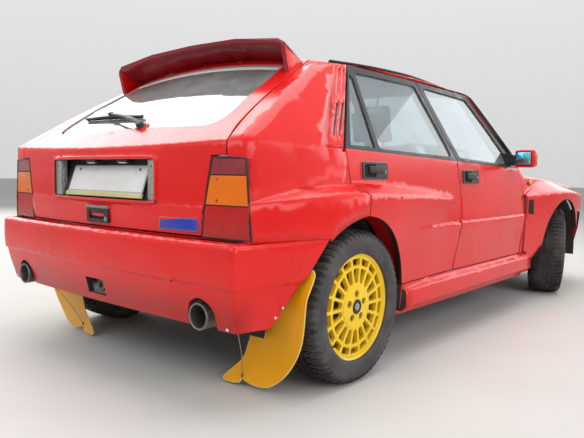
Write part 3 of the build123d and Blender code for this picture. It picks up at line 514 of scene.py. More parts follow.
def holedPlate(outline, holes, low, high, chamfer=0.0, openEdges=()):
    # Plate with holes through it; front edges of the holes chamfered
    shape = bmesh.new()

    def ring(points, level):
        return [shape.verts.new((x, y, level)) for x, y in points]

    def loopEdges(row):
        return [shape.edges.new((row[k], row[(k + 1) % len(row)])) for k in range(len(row))]

    top, bottom = ring(outline, high), ring(outline, low)
    topEdges, bottomEdges = loopEdges(top), loopEdges(bottom)
    for hole in holes:
        front = ring(inset(hole, -chamfer) if chamfer else hole, high)
        back = ring(hole, low)
        topEdges += loopEdges(front)
        bottomEdges += loopEdges(back)
        if chamfer:
            middle = ring(hole, high - chamfer)
            bridgeRings(shape, front, middle)
            bridgeRings(shape, middle, back)
        else:
            bridgeRings(shape, front, back)
    bmesh.ops.triangle_fill(shape, use_beauty=True, edges=topEdges)
    bmesh.ops.triangle_fill(shape, use_beauty=True, edges=bottomEdges)
    for k in range(len(outline)):
        if k not in openEdges:
            after = (k + 1) % len(outline)
            shape.faces.new((top[k], top[after], bottom[after], bottom[k]))
    return shape


def lathePart(profile, steps, closed=True):
    # Turns pairs of (distance along x, radius) about the x axis; a closed profile makes a ring
    turns = [2 * pi * k / steps for k in range(steps)]
    return stackPart([[(x, r * cos(turn), r * sin(turn)) for turn in turns] for x, r in profile], closed)


def tubePart(points, radius, steps=10, flat=1.0):
    # Round bar along a line of points; radius may be a list
    path = [Vector(point) for point in points]
    radii = radius if isinstance(radius, (list, tuple)) else [radius] * len(path)
    rings = []
    side = None
    for k, point in enumerate(path):
        ahead = (path[min(k + 1, len(path) - 1)] - path[max(k - 1, 0)]).normalized()
        if side is None:
            side = ahead.orthogonal().normalized()
        side = (side - ahead * side.dot(ahead)).normalized()
        across = ahead.cross(side)
        turned = circle(radii[k], steps)
        rings.append([point + side * a + across * flat * b for a, b in turned])
    return stackPart(rings)


def stripPart(points, normals, profile, closed=False):
    # Moulding along a line: profile pairs are (across, outwards) and form a closed section
    path = [Vector(point) for point in points]
    total = len(path)
    shape = bmesh.new()
    rows = []
    for k, point in enumerate(path):
        before = path[k - 1] if closed or k else path[0]
        after = path[(k + 1) % total] if closed or k + 1 < total else path[-1]
        ahead = (after - before).normalized()
        out = Vector(normals[k]) if isinstance(normals, list) else Vector(normals)
        across = ahead.cross(out).normalized()
        out = across.cross(ahead).normalized()
        rows.append([shape.verts.new(point + across * a + out * b) for a, b in profile])
    for k in range(total if closed else total - 1):
        bridgeRings(shape, rows[k], rows[(k + 1) % total])
    if not closed:
        shape.faces.new(list(reversed(rows[0])))
        shape.faces.new(rows[-1])
    return shape


def ribProfile(width, height, steps=4, sink=0.002):
    # Half-round section of a strip, its foot sunk a little
    points = [(-width / 2, -sink)]
    for step in range(steps + 1):
        angle = pi * step / steps
        points.append((-width / 2 * cos(angle), height * sin(angle)))
    return points + [(width / 2, -sink)]


def smoothLine(points, steps=6):
    # Catmull-Rom line through the points
    path = [Vector(point) for point in points]
    path = [path[0] * 2 - path[1]] + path + [path[-1] * 2 - path[-2]]
    result = []
    for k in range(1, len(path) - 2):
        a, b, c, d = path[k - 1:k + 3]
        for step in range(steps):
            t = step / steps
            result.append(0.5 * ((2 * b) + (c - a) * t + (2 * a - 5 * b + 4 * c - d) * t * t
                                 + (3 * b - a - 3 * c + d) * t ** 3))
    return result + [path[-2]]


def startTree(name, sockets):
    tree = bpy.data.node_groups.new(name, "GeometryNodeTree")
    for label, kind in (("Geometry", "Geometry"), ("Count", "Int"), *sockets, ("Material", "Material")):
        tree.interface.new_socket(label, in_out="INPUT", socket_type="NodeSocket" + kind)
    tree.interface.new_socket("Geometry", in_out="OUTPUT", socket_type="NodeSocketGeometry")
    return tree, tree.nodes.new("NodeGroupInput"), tree.nodes.new("GeometryNodeInstanceOnPoints")


def endTree(tree, given, place):
    # Ends a tree with real geometry, its doubles merged and its material set
    add, link = tree.nodes.new, tree.links.new
    real, merge = add("GeometryNodeRealizeInstances"), add("GeometryNodeMergeByDistance")
    dress = add("GeometryNodeSetMaterial")
    link(given.outputs["Geometry"], place.inputs["Instance"])
    link(place.outputs[0], real.inputs[0])
    link(real.outputs[0], merge.inputs["Geometry"])
    merge.inputs["Distance"].default_value = 1e-5
    link(merge.outputs[0], dress.inputs["Geometry"])
    link(given.outputs["Material"], dress.inputs["Material"])
    link(dress.outputs[0], add("NodeGroupOutput").inputs[0])
    return tree


def makeRingTree():
    # Turns one segment about the x axis, Count times
    tree, given, place = startTree("repeatAround", ())
    add, link = tree.nodes.new, tree.links.new
    points, index = add("GeometryNodePoints"), add("GeometryNodeInputIndex")
    link(given.outputs["Count"], points.inputs["Count"])
    share, angle = add("ShaderNodeMath"), add("ShaderNodeMath")
    share.operation, angle.operation = "DIVIDE", "MULTIPLY"
    link(index.outputs[0], share.inputs[0])
    link(given.outputs["Count"], share.inputs[1])
    link(share.outputs[0], angle.inputs[0])
    angle.inputs[1].default_value = 2 * pi
    turn = add("ShaderNodeCombineXYZ")
    link(angle.outputs[0], turn.inputs["X"])
    link(points.outputs[0], place.inputs["Points"])
    link(turn.outputs[0], place.inputs["Rotation"])
    return endTree(tree, given, place)


def makeRowTree():
    # Sets one segment in a straight row, a Step apart
    tree, given, place = startTree("repeatAlong", (("Step", "Vector"),))
    line = tree.nodes.new("GeometryNodeMeshLine")
    tree.links.new(given.outputs["Count"], line.inputs["Count"])
    tree.links.new(given.outputs["Step"], line.inputs["Offset"])
    tree.links.new(line.outputs[0], place.inputs["Points"])
    return endTree(tree, given, place)


ringTree = makeRingTree()
rowTree = makeRowTree()


def runTree(segment, tree, material, values):
    # Evaluates a tree on one segment and gives the whole row or ring back
    mesh = bpy.data.meshes.new("segment")
    segment.to_mesh(mesh)
    segment.free()
    holder = bpy.data.objects.new("segment", mesh)
    bpy.context.scene.collection.objects.link(holder)
    modifier = holder.modifiers.new("repeat", "NODES")
    modifier.node_group = tree
    sockets = {item.name: item.identifier for item in tree.interface.items_tree if item.in_out == "INPUT"}
    for label, value in values.items():
        modifier[sockets[label]] = value
    modifier[sockets["Material"]] = finish[material]
    graph = bpy.context.evaluated_depsgraph_get()
    result = bpy.data.meshes.new_from_object(holder.evaluated_get(graph))
    holder.modifiers.clear()
    bpy.data.objects.remove(holder)
    shape = bmesh.new()
    shape.from_mesh(result)
    bpy.data.meshes.remove(result)
    return shape


def repeatAround(segment, count, material):
    return runTree(segment, ringTree, material, {"Count": count})


# Rays against the car at rest, to tell outside faces from inside ones and to seat small pieces

def treeOf(names):
    verts, faces = [], []
    for name in names:
        mesh = nodes[name].data
        start = len(verts)
        verts.extend(v.co.copy() for v in mesh.vertices)
        faces.extend([start + index for index in polygon.vertices] for polygon in mesh.polygons)
    return BVHTree.FromPolygons(verts, faces)


shellNames = [n for n in nodes if any(key in n for key in (
    "shell", "roof_panel", "door", "tailgate", "bonnet", "fender", "windscreen", "bumper", "grille", "lamp"))]
carTree = treeOf(shellNames)


def firstHit(tree, start, along):      # place and normal
    return tree.ray_cast(Vector(start), Vector(along))[:2]


def onSide(y, z, side=1):
    return firstHit(carTree, (side * 1.3, y, z), (-side, 0, 0))


def onTail(x, z, tree=carTree):
    return firstHit(tree, (x, -2.4, z), (0, 1, 0))


def onFront(x, z):
    return firstHit(carTree, (x, 2.4, z), (0, -1, 0))


def onTop(x, y, tree=carTree):
    return firstHit(tree, (x, y, 2.0), (0, 0, -1))


print("helpers ready")


# Body panels: the CAD faces made finer and smoother, painted outside and lined inside

panels = {
    "edgeLength": 0.022,
    "passes": 14,
    "creaseAngle": 33,          # degrees; sharper edges between painted faces stay
    "straightAngle": 150,       # an edge line that turns less is smoothed along itself
    "flatAngle": 6,
    "gapReach": 0.045,          # a ray that stops nearer than this is in a shut gap
    # Height of its top, foot and fading end; where it starts and its run; the axis and the step
    "tailCrease": (0.686, 0.68, 0.596, -9, 1, "y", -0.006),
    "doorCrease": (0.58, 0.567, 0.43, -0.95, 0.45, "x", 0.008),
    "bumperCrease": (0.436, 0.43, 0.1, -9, 1, "xy", 0.009),
    "painted": ("body_shell", "roof_panel", "front_fenders", "bonnet", "tailgate", "rear_bumper",
                "front_bumper"),
}


def inWell(point):
    for axleY, radius in ((car["frontAxleY"], car["frontArch"]), (car["rearAxleY"], car["rearArch"])):
        if hypot(point.y - axleY, point.z - car["archZ"]) < radius + 0.014 and point.z > 0.1:
            return True
    return False


def panelFinish(face):
    # Gives the finish of a face and whether it looks straight out into the open
    point = face.calc_center_median()
    normal = face.normal
    if inWell(point):
        axle = Vector((0, car["frontAxleY"] if point.y > 0 else car["rearAxleY"], car["archZ"]))
        toAxle = (axle - Vector((0, point.y, point.z))).normalized()
        if abs(point.x) < car["wellEdgeX"] or (toAxle.dot(normal) > 0.35 and abs(point.x) < 0.88):
            return "liner", False
    if abs(point.x) < 0.349 and 0.69 < point.z < 0.844 and -1.8985 < point.y < -1.829:
        return "trim", False                    # the plate's recess
    if normal.z < -0.6 and point.z < 0.46 and not (abs(point.x) > 0.72 and abs(point.y) < 1.0):
        return "under", False
    hit = carTree.ray_cast(point + normal * 0.002, normal, 2.5)
    blocked = hit[0] is not None
    if blocked and hit[3] > panels["gapReach"]:
        if point.y > 0.56:
            return ("liner" if point.z < 0.7 else "innerPaint"), False
        if point.z > 1.2 or (point.z > 0.95 and abs(normal.z) > 0.5):
            return "headLining", False
        if normal.z > 0.7 and point.z < 0.5:
            return "carpet", False
        return "cabin", False
    if abs(point.x) < 0.5 and point.z < 0.46 and -1.86 < point.y < 1.7:
        return "under", False
    if blocked and -1.42 < point.y < -1.22 and 0.92 < point.z < 1.1 and abs(point.x) > 0.5 and hit[3] < 0.03:
        return "trim", False                    # inside the pillar's vent slots
    return "paint", not blocked


def refine(shape, outer, length):
    # Cuts long edges of the outside faces until they are short, and evens out their triangles
    for sweep in range(8):
        longEdges = [edge for edge in shape.edges
                     if edge.calc_length() > length * 1.35 and any(face[outer] for face in edge.link_faces)]
        if not longEdges:
            break
        longest = max(edge.calc_length() for edge in longEdges)
        longEdges = [edge for edge in longEdges if edge.calc_length() > min(longest * 0.3, length * 3)
                     or longest < length * 3]
        bmesh.ops.subdivide_edges(shape, edges=longEdges, cuts=1)
        trianglesOnly(shape)
        flat = [edge for edge in shape.edges if len(edge.link_faces) == 2
                and all(f[outer] for f in edge.link_faces)
                and edge.link_faces[0].material_index == edge.link_faces[1].material_index
                and edge.calc_face_angle(1) < radians(panels["flatAngle"])]
        faces = [face for face in shape.faces if face[outer]]
        bmesh.ops.beautify_fill(shape, faces=faces, edges=flat, method="ANGLE")


def soften(shape, outer, passes):
    # Evens out the outside surface; edge lines are evened along themselves, and their corners stay
    shape.verts.index_update()
    crease, straight = radians(panels["creaseAngle"]), radians(panels["straightAngle"])
    lineEdges = {}
    for edge in shape.edges:
        faces = edge.link_faces
        outside = [face for face in faces if face[outer]]
        if outside and (len(outside) != 2 or len(faces) != 2 or edge.calc_face_angle(0) > crease
                        or outside[0].material_index != outside[1].material_index):
            for vert in edge.verts:
                lineEdges.setdefault(vert.index, []).append(edge.other_vert(vert))
    rows, columns = [], []
    for vert in shape.verts:
        lines = lineEdges.get(vert.index)
        if lines is None:
            if vert.link_faces and all(face[outer] for face in vert.link_faces):
                for edge in vert.link_edges:
                    rows.append(vert.index)
                    columns.append(edge.other_vert(vert).index)
        elif len(lines) == 2:
            before, after = lines[0].co - vert.co, lines[1].co - vert.co
            if min(before.length, after.length) > 1e-6 and before.angle(after) > straight:
                for other in lines:
                    rows.append(vert.index)
                    columns.append(other.index)
    if not rows:
        return
    rows, columns = np.array(rows), np.array(columns)
    total = len(shape.verts)
    counts = np.bincount(rows, minlength=total)
    moving = counts > 0
    places = np.array([vert.co[:] for vert in shape.verts])
    for sweep in range(passes):
        sums = [np.bincount(rows, weights=places[columns, axis], minlength=total) for axis in range(3)]
        mean = np.stack(sums, 1)
        mean[moving] /= counts[moving, None]
        places[moving] += 0.5 * (mean[moving] - places[moving])
    shape.verts.ensure_lookup_table()
    for index in np.nonzero(moving)[0]:
        shape.verts[index].co = places[index]


def pressCrease(shape, row, keep):
    # A low step pressed in along a level line; the skin below it moves along one axis and fades back
    top, foot, fadeEnd, start, run, axis, depth = row
    for height in (top, foot, foot - 0.03, fadeEnd):
        cutAt(shape, (0, 0, height), (0, 0, 1))
    trianglesOnly(shape)
    for vert in shape.verts:
        if keep(vert) and fadeEnd < vert.co.z < foot + 0.001:
            along = min(max((vert.co.y - start) / run, 0), 1)
            step = depth * min((vert.co.z - fadeEnd) / (foot - fadeEnd), 1) * along * along * (3 - 2 * along)
            hand = 1 if vert.co.x > 0 else -1
            if axis == "x":
                vert.co.x += step * hand
            elif axis == "y":
                vert.co.y += step
            else:       # inwards, from the tail and from the sides
                vert.co.y += step * min(max((-1.86 - vert.co.y) / 0.03, 0), 1)
                vert.co.x -= step * hand * min(max((abs(vert.co.x) - 0.79) / 0.03, 0), 1)


def paintPanel(node, trimAbove=False):
    shape = cadCopy(node)
    kinds = ["paint", "liner", "under", "cabin", "innerPaint", "headLining", "carpet", "trim"]
    if trimAbove:
        (lowY, lowZ), (highY, highZ) = car["beltRear"], car["beltFront"]
        normal = Vector((0, lowZ - highZ, highY - lowY))
        belt = Vector((0, lowY, lowZ))
        cutAt(shape, belt, normal)
        trianglesOnly(shape)
    outer = shape.faces.layers.int.new("outer")
    for face in shape.faces:
        kind, outside = panelFinish(face)
        if trimAbove and kind == "paint" and normal.dot(face.calc_center_median() - belt) > 0:
            kind = "trim"
        face.material_index = kinds.index(kind)
        face[outer] = outside
    refine(shape, outer, panels["edgeLength"])
    soften(shape, outer, panels["passes"])
    if node == "tailgate":
        besidePlate = lambda vert: vert.co.y < -1.83 and (abs(vert.co.x) > 0.36 or vert.co.z < 0.684)
        pressCrease(shape, panels["tailCrease"], besidePlate)
    elif node == "rear_bumper":
        pressCrease(shape, panels["bumperCrease"], lambda vert: True)
    elif node.endswith("door"):
        pressCrease(shape, panels["doorCrease"], lambda vert: abs(vert.co.x) > 0.775)
    shape.faces.layers.int.remove(outer)
    finishCopy(node, shape, kinds, None, 30)


def makePanels():
    for node in panels["painted"]:
        paintPanel(node)
    for side in sides:
        for end in ("front", "rear"):
            paintPanel(f"{side}_{end}_door", True)


def makeGlazing():
    for node in nodes:
        if node == "windscreen" or node.endswith("door_glass"):
            finishCopy(node, cadCopy(node), ["clearGlass"], None, 20)
    finishCopy("tailgate_glass", cadCopy("tailgate_glass"), ["rearGlass"], None, 20)


makePanels()
makeGlazing()
print("panels, doors and glass")


# Wheels: x points outwards in a wheel's own axes, its middle at the origin

tyre = {
    "pitches": 60,
    "crown": ((0.0, 0.2955), (0.0575, 0.2953), (0.078, 0.2925), (0.0925, 0.283), (0.0985, 0.273)),
    "grooveDepth": 0.0075,
    "sideProfile": ((0.086, 0.2035), (0.093, 0.2045), (0.0975, 0.209), (0.1003, 0.218), (0.1012, 0.223),
                    (0.1022, 0.2235), (0.1024, 0.2262), (0.1016, 0.227), (0.1025, 0.237), (0.1022, 0.244),
                    (0.1029, 0.2446), (0.1026, 0.2466), (0.1016, 0.2475), (0.1006, 0.256), (0.0985, 0.265),
                    (0.095, 0.2735), (0.088, 0.2815), (0.076, 0.2862), (0.0575, 0.2876), (0.0, 0.2882)),
    # Blocks of one pitch: four corners as (x, share of the pitch), for one half of the tread
    "blocks": (
        ((0.003, 0.02), (0.0255, 0.3), (0.0255, 0.78), (0.003, 0.5)),
        ((0.003, 0.56), (0.0255, 0.84), (0.0255, 1.22), (0.003, 0.94)),
        ((0.032, 0.1), (0.056, 0.34), (0.056, 0.58), (0.032, 0.34)),
        ((0.032, 0.38), (0.056, 0.62), (0.056, 0.86), (0.032, 0.62)),
        ((0.0625, 0.16), (0.0925, 0.22), (0.0925, 0.47), (0.0625, 0.41)),
        ((0.0625, 0.46), (0.0925, 0.52), (0.0925, 0.8), (0.0625, 0.74)),
    ),
    "lug": ((0.0925, 0.3), (0.098, 0.36), (0.098, 0.62), (0.0925, 0.66)),
}


def crownRadius(x):
    rows = tyre["crown"]
    x = abs(x)
    for (lowX, lowR), (highX, highR) in zip(rows, rows[1:]):
        if x <= highX:
            return lowR + (highR - lowR) * (x - lowX) / (highX - lowX)
    return rows[-1][1]


def treadSegment(hand):
    # One pitch of the tread, both halves, as closed blocks sunk into the carcass
    shape = bmesh.new()
    pitch = 2 * pi / tyre["pitches"]
    for half, shift in ((1, 0.0), (-1, 0.5)):
        for corners in tyre["blocks"] + (tyre["lug"],):
            columns = 3 if corners[1][0] - corners[0][0] > 0.02 else 2
            top, foot = [], []
            for row in range(columns):
                t = row / (columns - 1)
                for edge in (0, 1):
                    inner, outer = (corners[0], corners[1]) if edge == 0 else (corners[3], corners[2])
                    x = inner[0] + (outer[0] - inner[0]) * t
                    share = inner[1] + (outer[1] - inner[1]) * t
                    angle = hand * (share + shift) * pitch
                    spread = 0.03 * pitch * (-hand if edge == 0 else hand)
                    radius = crownRadius(x)
                    low = radius - tyre["grooveDepth"] - 0.004
                    top.append(shape.verts.new((half * x, radius * sin(angle), radius * cos(angle))))
                    foot.append(shape.verts.new((half * x, low * sin(angle + spread),
                                                 low * cos(angle + spread))))
            for rows in (top, foot):
                for row in range(columns - 1):
                    a = 2 * row
                    shape.faces.new((rows[a], rows[a + 1], rows[a + 3], rows[a + 2]))
            around = [0] + [2 * row + 1 for row in range(columns)]
            around += [2 * row for row in range(columns - 1, 0, -1)]
            for k in range(len(around)):
                a, b = around[k], around[(k + 1) % len(around)]
                shape.faces.new((top[a], top[b], foot[b], foot[a]))
    return shape


rim = {
    "segments": 18,
    "webFront": 0.08,
    "webBack": 0.06,
    "webInner": 0.08,
    "webOuter": 0.1975,
    "spoke": 0.0125,
    "innerWindow": (0.091, 0.147),
    "outerWindow": (0.16, 0.185),
    "barrel": ((0.0945, 0.2185), (0.0975, 0.2165), (0.0975, 0.2125), (0.094, 0.209), (0.0865, 0.206),
               (0.0815, 0.202), (0.079, 0.196), (0.06, 0.1955), (0.056, 0.1925), (-0.06, 0.1925),
               (-0.076, 0.201), (-0.085, 0.21), (-0.088, 0.216), (-0.086, 0.219), (-0.082, 0.2185),
               (-0.079, 0.206), (-0.07, 0.2035), (-0.05, 0.2), (0.05, 0.2), (0.075, 0.2035),
               (0.085, 0.206), (0.09, 0.2185)),
    "hubRadius": 0.0835,
    "hubFront": 0.085,
    "pocket": (0.049, 0.0135),       # where the wheel bolts' pockets lie, and their radius
    "bolts": 5,
    "capRadius": 0.0275,
    "valveTurn": 2.3,
    "beadLine": ((0.093, 0.2185), (0.0984, 0.2188), (0.0984, 0.2212), (0.093, 0.2212)),
}
wheelAxes = Matrix(((0, 0, 1, 0), (1, 0, 0, 0), (0, 1, 0, 0), (0, 0, 0, 1)))      # plate axes to wheel axes


def sectorPoint(radius, angle):
    return radius * sin(angle), radius * cos(angle)


def windowOutline(low, high, corner):
    # Window between two radii whose sides keep the spokes' width
    points = []
    for radius, signs in ((low, (-1, 1)), (high, (1, -1))):
        half = pi / rim["segments"] - rim["spoke"] / 2 / radius
        points += [sectorPoint(radius, sign * half) for sign in signs]
    return roundCorners(points, corner, 4)


def webSegment():
    half = pi / rim["segments"]
    inner, outer = rim["webInner"], rim["webOuter"]
    outline = [sectorPoint(inner, half * (-1 + k / 2)) for k in range(5)]
    outline += [sectorPoint(inner + (outer - inner) * k / 4, half) for k in range(1, 4)]
    outline += [sectorPoint(outer, half * (1 - k / 2)) for k in range(5)]
    outline += [sectorPoint(inner + (outer - inner) * k / 4, -half) for k in range(3, 0, -1)]
    windows = [windowOutline(*rim["innerWindow"], 0.0075), windowOutline(*rim["outerWindow"], 0.0065)]
    roundEdges = set(range(4, 8)) | set(range(12, 16))
    shape = holedPlate(outline, windows, rim["webBack"], rim["webFront"], 0.0022, roundEdges)
    shape.transform(wheelAxes)
    return shape


def dome(shape, depth, radius):
    for vert in shape.verts:
        if vert.co.x > rim["webFront"] - 0.004:
            vert.co.x -= depth * (hypot(vert.co.y, vert.co.z) / radius) ** 2


def makeRim(build, toWheel):
    build.add(lathePart(rim["barrel"], 90), "rim", toWheel)
    web = repeatAround(webSegment(), rim["segments"], "rim")
    dome(web, 0.003, rim["webOuter"])
    build.add(web, "rim", toWheel)
    reach, pocket = rim["pocket"]
    spots = [sectorPoint(reach, 2 * pi * k / rim["bolts"]) for k in range(rim["bolts"])]
    holes = [circle(pocket, 18, spot) for spot in spots]
    hub = holedPlate(circle(rim["hubRadius"], 60), holes + [circle(rim["capRadius"] + 0.001, 30)], 0.062,
                     rim["hubFront"], 0.002)
    hub.transform(wheelAxes)
    dome(hub, 0.004, rim["hubRadius"])
    build.add(hub, "rim", toWheel)
    disc = ((0.05, 0), (0.05, 0.0832), (0.066, 0.0832), (0.066, 0))
    build.add(lathePart(disc, 48, False), "steel", toWheel)
    for x, y in spots:
        bolt = slabPart(circle(0.0088, 6), 0.064, 0.0775, 0.0015, 1)
        bolt.transform(wheelAxes @ shift(x, y))
        build.add(bolt, "steel", toWheel)
    cap = ((0.06, 0.0), (0.06, rim["capRadius"]), (0.084, rim["capRadius"]), (0.0858, 0.0255),
           (0.085, 0.0235), (0.0835, 0.0225), (0.0835, 0.015), (0.0845, 0.0))
    build.add(lathePart(cap, 36, False), "trim", toWheel)
    middle = ((0.08, 0.0), (0.08, 0.0145), (0.0852, 0.0142), (0.0862, 0.011), (0.0864, 0.0))
    build.add(lathePart(middle, 30, False), "silver", toWheel)
    valve = tubePart([(0.07, 0.0, 0.1915), (0.09, 0.0, 0.186)], [0.0042, 0.0034], 10)
    valve.transform(spun(rim["valveTurn"], "X"))
    build.add(valve, "hose", toWheel)
    build.add(lathePart(rim["beadLine"], 90), "soot", toWheel)


brake = {
    "disc": ((-0.02, 0.078), (-0.02, 0.138), (-0.0215, 0.14), (-0.04, 0.14), (-0.0415, 0.138),
             (-0.0415, 0.078)),
    "hat": ((-0.041, 0.04), (-0.041, 0.082), (-0.021, 0.084), (0.048, 0.076), (0.05, 0.072), (0.05, 0.04)),
}


def wheelPlace(side, end):
    row = jointNamed[f"{side}_{end}_wheel_spin"]
    out = Vector(row["axis"]).normalized()
    if out.x * sides[side] < 0:
        out = -out
    up = (Vector((0, 0, 1)) - out * out.z).normalized()
    return Matrix.Translation(row["pos_m"]) @ Matrix((out, up.cross(out), up)).transposed().to_4x4()


def makeWheel(side, end):
    toWheel = wheelPlace(side, end)
    body = f"{side}_{end}_wheel"
    rubber = Build()
    half = list(tyre["sideProfile"])
    profile = half + [(-x, r) for x, r in reversed(half[:-1])]
    rubber.add(lathePart(profile, 120), "sidewall", toWheel)
    rubber.ring(treadSegment(sides[side]), tyre["pitches"], "tread", toWheel)
    rubber.finish(f"{side}_{end}_tyre_shaped", body, "tyre", [f"{side}_{end}_tyre"], 32)
    metal = Build()
    makeRim(metal, toWheel)
    metal.add(lathePart(brake["disc"], 72), "disc", toWheel)
    metal.add(lathePart(brake["hat"], 48), "steel", toWheel)
    metal.finish(f"{side}_{end}_rim_shaped", body, "yellow_rim", [f"{side}_{end}_rim"], 32)


for side in sides:
    for end in ("front", "rear"):
        makeWheel(side, end)
print("wheels")


# Tail: lamps, plate, lock, badge, glass seal, wiper and spoiler

tail = {
    "lampLines": (0.69, 0.79),      # heights between the lamps' three colours
    "lampLine": 0.0022,
    "recessLow": 0.6905,
    "recessHigh": 0.8435,
    "plateFoot": (-1.8905, 0.6965),   # y and z of the leaning plate's lower edge
    "plateTop": (-1.847, 0.821),
    "plateSize": (0.52, 0.112),
    "stripHeight": 0.019,
    "endPiece": (0.3035, 0.3475),
    "lock": (0.0, 0.6295, 0.15, 0.066),     # x, z, width, height
    "badge": (0.4695, 0.619, 0.195, 0.046),
}


def outlinesOf(node, outward):
    # The rims of a node's outer faces, longest first, each as points in order with their normals
    shape = cadCopy(node)
    front = {face for face in shape.faces if face.normal.dot(Vector(outward)) > 0.35}
    links = {}
    for edge in shape.edges:
        if sum(face in front for face in edge.link_faces) == 1:
            a, b = edge.verts
            links.setdefault(a, []).append(b)
            links.setdefault(b, []).append(a)
    loops = []
    while links:
        start = next(iter(links))
        loop, here = [start], start
        while True:
            after = [vert for vert in links.pop(here) if vert in links]
            if not after:
                break
            here = after[0]
            loop.append(here)
        normals = []
        for vert in loop:
            normal = sum((face.normal for face in vert.link_faces if face in front), Vector())
            normals.append(normal.normalized())
        if len(loop) > 7:
            loops.append(([vert.co.copy() for vert in loop], normals))
    shape.free()
    return sorted(loops, key=lambda loop: -len(loop[0]))


def makeTailLamps():
    shape = cadCopy("tail_lamps")
    half = tail["lampLine"]
    for height in tail["lampLines"]:
        for edge in (-half, half):
            cutAt(shape, (0, 0, height + edge), (0, 0, 1))

    def lampFinish(face):
        z = face.calc_center_median().z
        low, high = tail["lampLines"]
        if min(abs(z - low), abs(z - high)) < half:
            return "soot"
        return "lensRed" if z < low else "lensAmber" if z < high else "lensTop"

    finishCopy("tail_lamps", shape, ["soot", "lensRed", "lensAmber", "lensTop"], lampFinish)
    screws = Build()
    lampTree = treeOf(["tail_lamps"])
    for sign in (1, -1):
        for height in (0.706, 0.776):
            hit = onTail(sign * 0.648, height, lampTree)
            if hit[0] is not None:
                screws.disc(0.0045, 10, (-0.002, 0.0015, 0.0008), "steel", seatOn(hit))
    screws.finish("tail_lamp_screws", "body", "bare_steel")
    gasket = Build()
    for points, normals in outlinesOf("tail_lamps", (0, -1, 0))[:2]:
        gasket.add(stripPart(points, normals, ribProfile(0.0075, 0.0022), True), "gloss")
    gasket.finish("tail_lamp_gaskets")


def makePlate():
    (footY, footZ), (topY, topZ) = tail["plateFoot"], tail["plateTop"]
    upward = Vector((0, topY - footY, topZ - footZ)).normalized()
    lean = frameAt((0, footY, footZ), (0, -upward.z, upward.y), upward)
    width, height = tail["plateSize"]
    strip = tail["stripHeight"]
    middle = lean @ shift(0, strip + height / 2)
    build = Build()
    build.plate((width, height, 0.009), (0.0, 0.0025, 0.001), "plate", middle)
    rimOutline = roundedBox(width - 0.006, height - 0.006, 0.007)
    build.add(holedPlate(rimOutline, [inset(rimOutline, 0.0016)], 0.002, 0.0032), "greyTrim", middle)
    build.plate((width + 0.012, strip, 0.003), (-0.002, 0.006, 0.0015), "plateStrip",
                lean @ shift(0, strip / 2))
    build.plate((width + 0.01, strip + height, 0.01), (-0.0035, 0.0005, 0.001), "trim",
                lean @ shift(0, (strip + height) / 2))
    for x in (-0.21, 0.21):
        build.disc(0.006, 12, (0.0, 0.0045, 0.0015), "steel", middle @ shift(x, 0.038))
    inner, outer = tail["endPiece"]
    middleZ = (tail["recessLow"] + tail["recessHigh"]) / 2
    for sign in (1, -1):
        spot = facingTail(sign * (inner + outer) / 2, onTail(sign * 0.3535, middleZ)[0].y + 0.006, middleZ)
        size = (outer - inner, tail["recessHigh"] - tail["recessLow"] - 0.004, 0.003)
        build.plate(size, (-0.028, 0, 0.003), "silver", spot)
        build.disc(0.0035, 10, (-0.001, 0.001, 0.0005), "soot", spot @ shift(0, 0.05))
    for x in (-0.11, 0.11):      # lamps above the plate
        under = shift(x, -1.862, 0.8425) @ spun(pi, "X")
        build.plate((0.07, 0.022, 0.006), (0, 0.012, 0.003), "trim", under)
        build.plate((0.054, 0.014, 0.004), (0.008, 0.0145, 0.002), "lensClear", under)
    build.finish("number_plate", "tailgate")


def makeLock():
    x, z, width, height = tail["lock"]
    build = Build()
    base = seatOn(onTail(x, z))
    outline = roundedBox(width, height, 0.006)
    grip = moved(roundedBox(width - 0.046, height - 0.034, 0.005), -0.006, -0.004)
    build.add(holedPlate(outline, [grip], -0.002, 0.01, 0.002), "trim", base)
    build.plate((width - 0.03, height - 0.02, 0.004), (-0.002, 0.0015, 0.0005), "soot", base)
    build.plate((width + 0.004, 0.011, 0.003), (-0.001, 0.017, 0.004), "greyTrim",
                base @ shift(0, height / 2 - 0.005))
    build.plate((width - 0.052, 0.012, 0.003), (0.0, 0.0085, 0.003), "trim", base @ shift(-0.006, 0.009))
    key = base @ shift(width / 2 - 0.016, -height / 2 + 0.015, 0.009)
    build.disc(0.0085, 24, (-0.002, 0.0035, 0.001), "silver", key)
    build.plate((0.002, 0.009, 0.0008), (0.003, 0.0038), "soot", key)
    build.finish("tailgate_lock", "tailgate")
    x, z, width, height = tail["badge"]
    build = Build()
    base = seatOn(onTail(x, z))
    build.plate((width, height, 0.004), (-0.002, 0.0025, 0.001), "badge", base)
    frameLine = roundedBox(width - 0.004, height - 0.004, 0.003)
    build.add(holedPlate(frameLine, [inset(frameLine, 0.0014)], 0.0015, 0.0032), "silver", base)
    build.finish("blank_badge", "tailgate")


def makeRearGlassTrim():
    build = Build()
    points, normals = outlinesOf("tailgate_glass", (0, -0.57, 0.82))[0]
    build.add(stripPart(points, normals, ribProfile(0.017, 0.0035), True), "greyTrim")
    top = max(point.z for point in points)
    edge = [k for k in range(len(points)) if points[k].z > top - 0.035]
    edge.sort(key=lambda k: points[k].x)
    line = [points[k] + Vector((0, -0.019, -0.0135)) for k in edge]
    build.add(stripPart(line, [normals[k] for k in edge], ribProfile(0.027, 0.005)), "whiteEdge")
    build.finish("rear_glass_seal", "tailgate")


wiper = {
    "base": (0.108, -1.78, 0.973),
    "clip": (-0.21, -1.706, 1.04),
    "bladeLeft": (-0.44, -1.69, 1.036),
    "bladeRight": (0.034, -1.719, 1.02),
    "slope": (0, -0.57, 0.82),
}


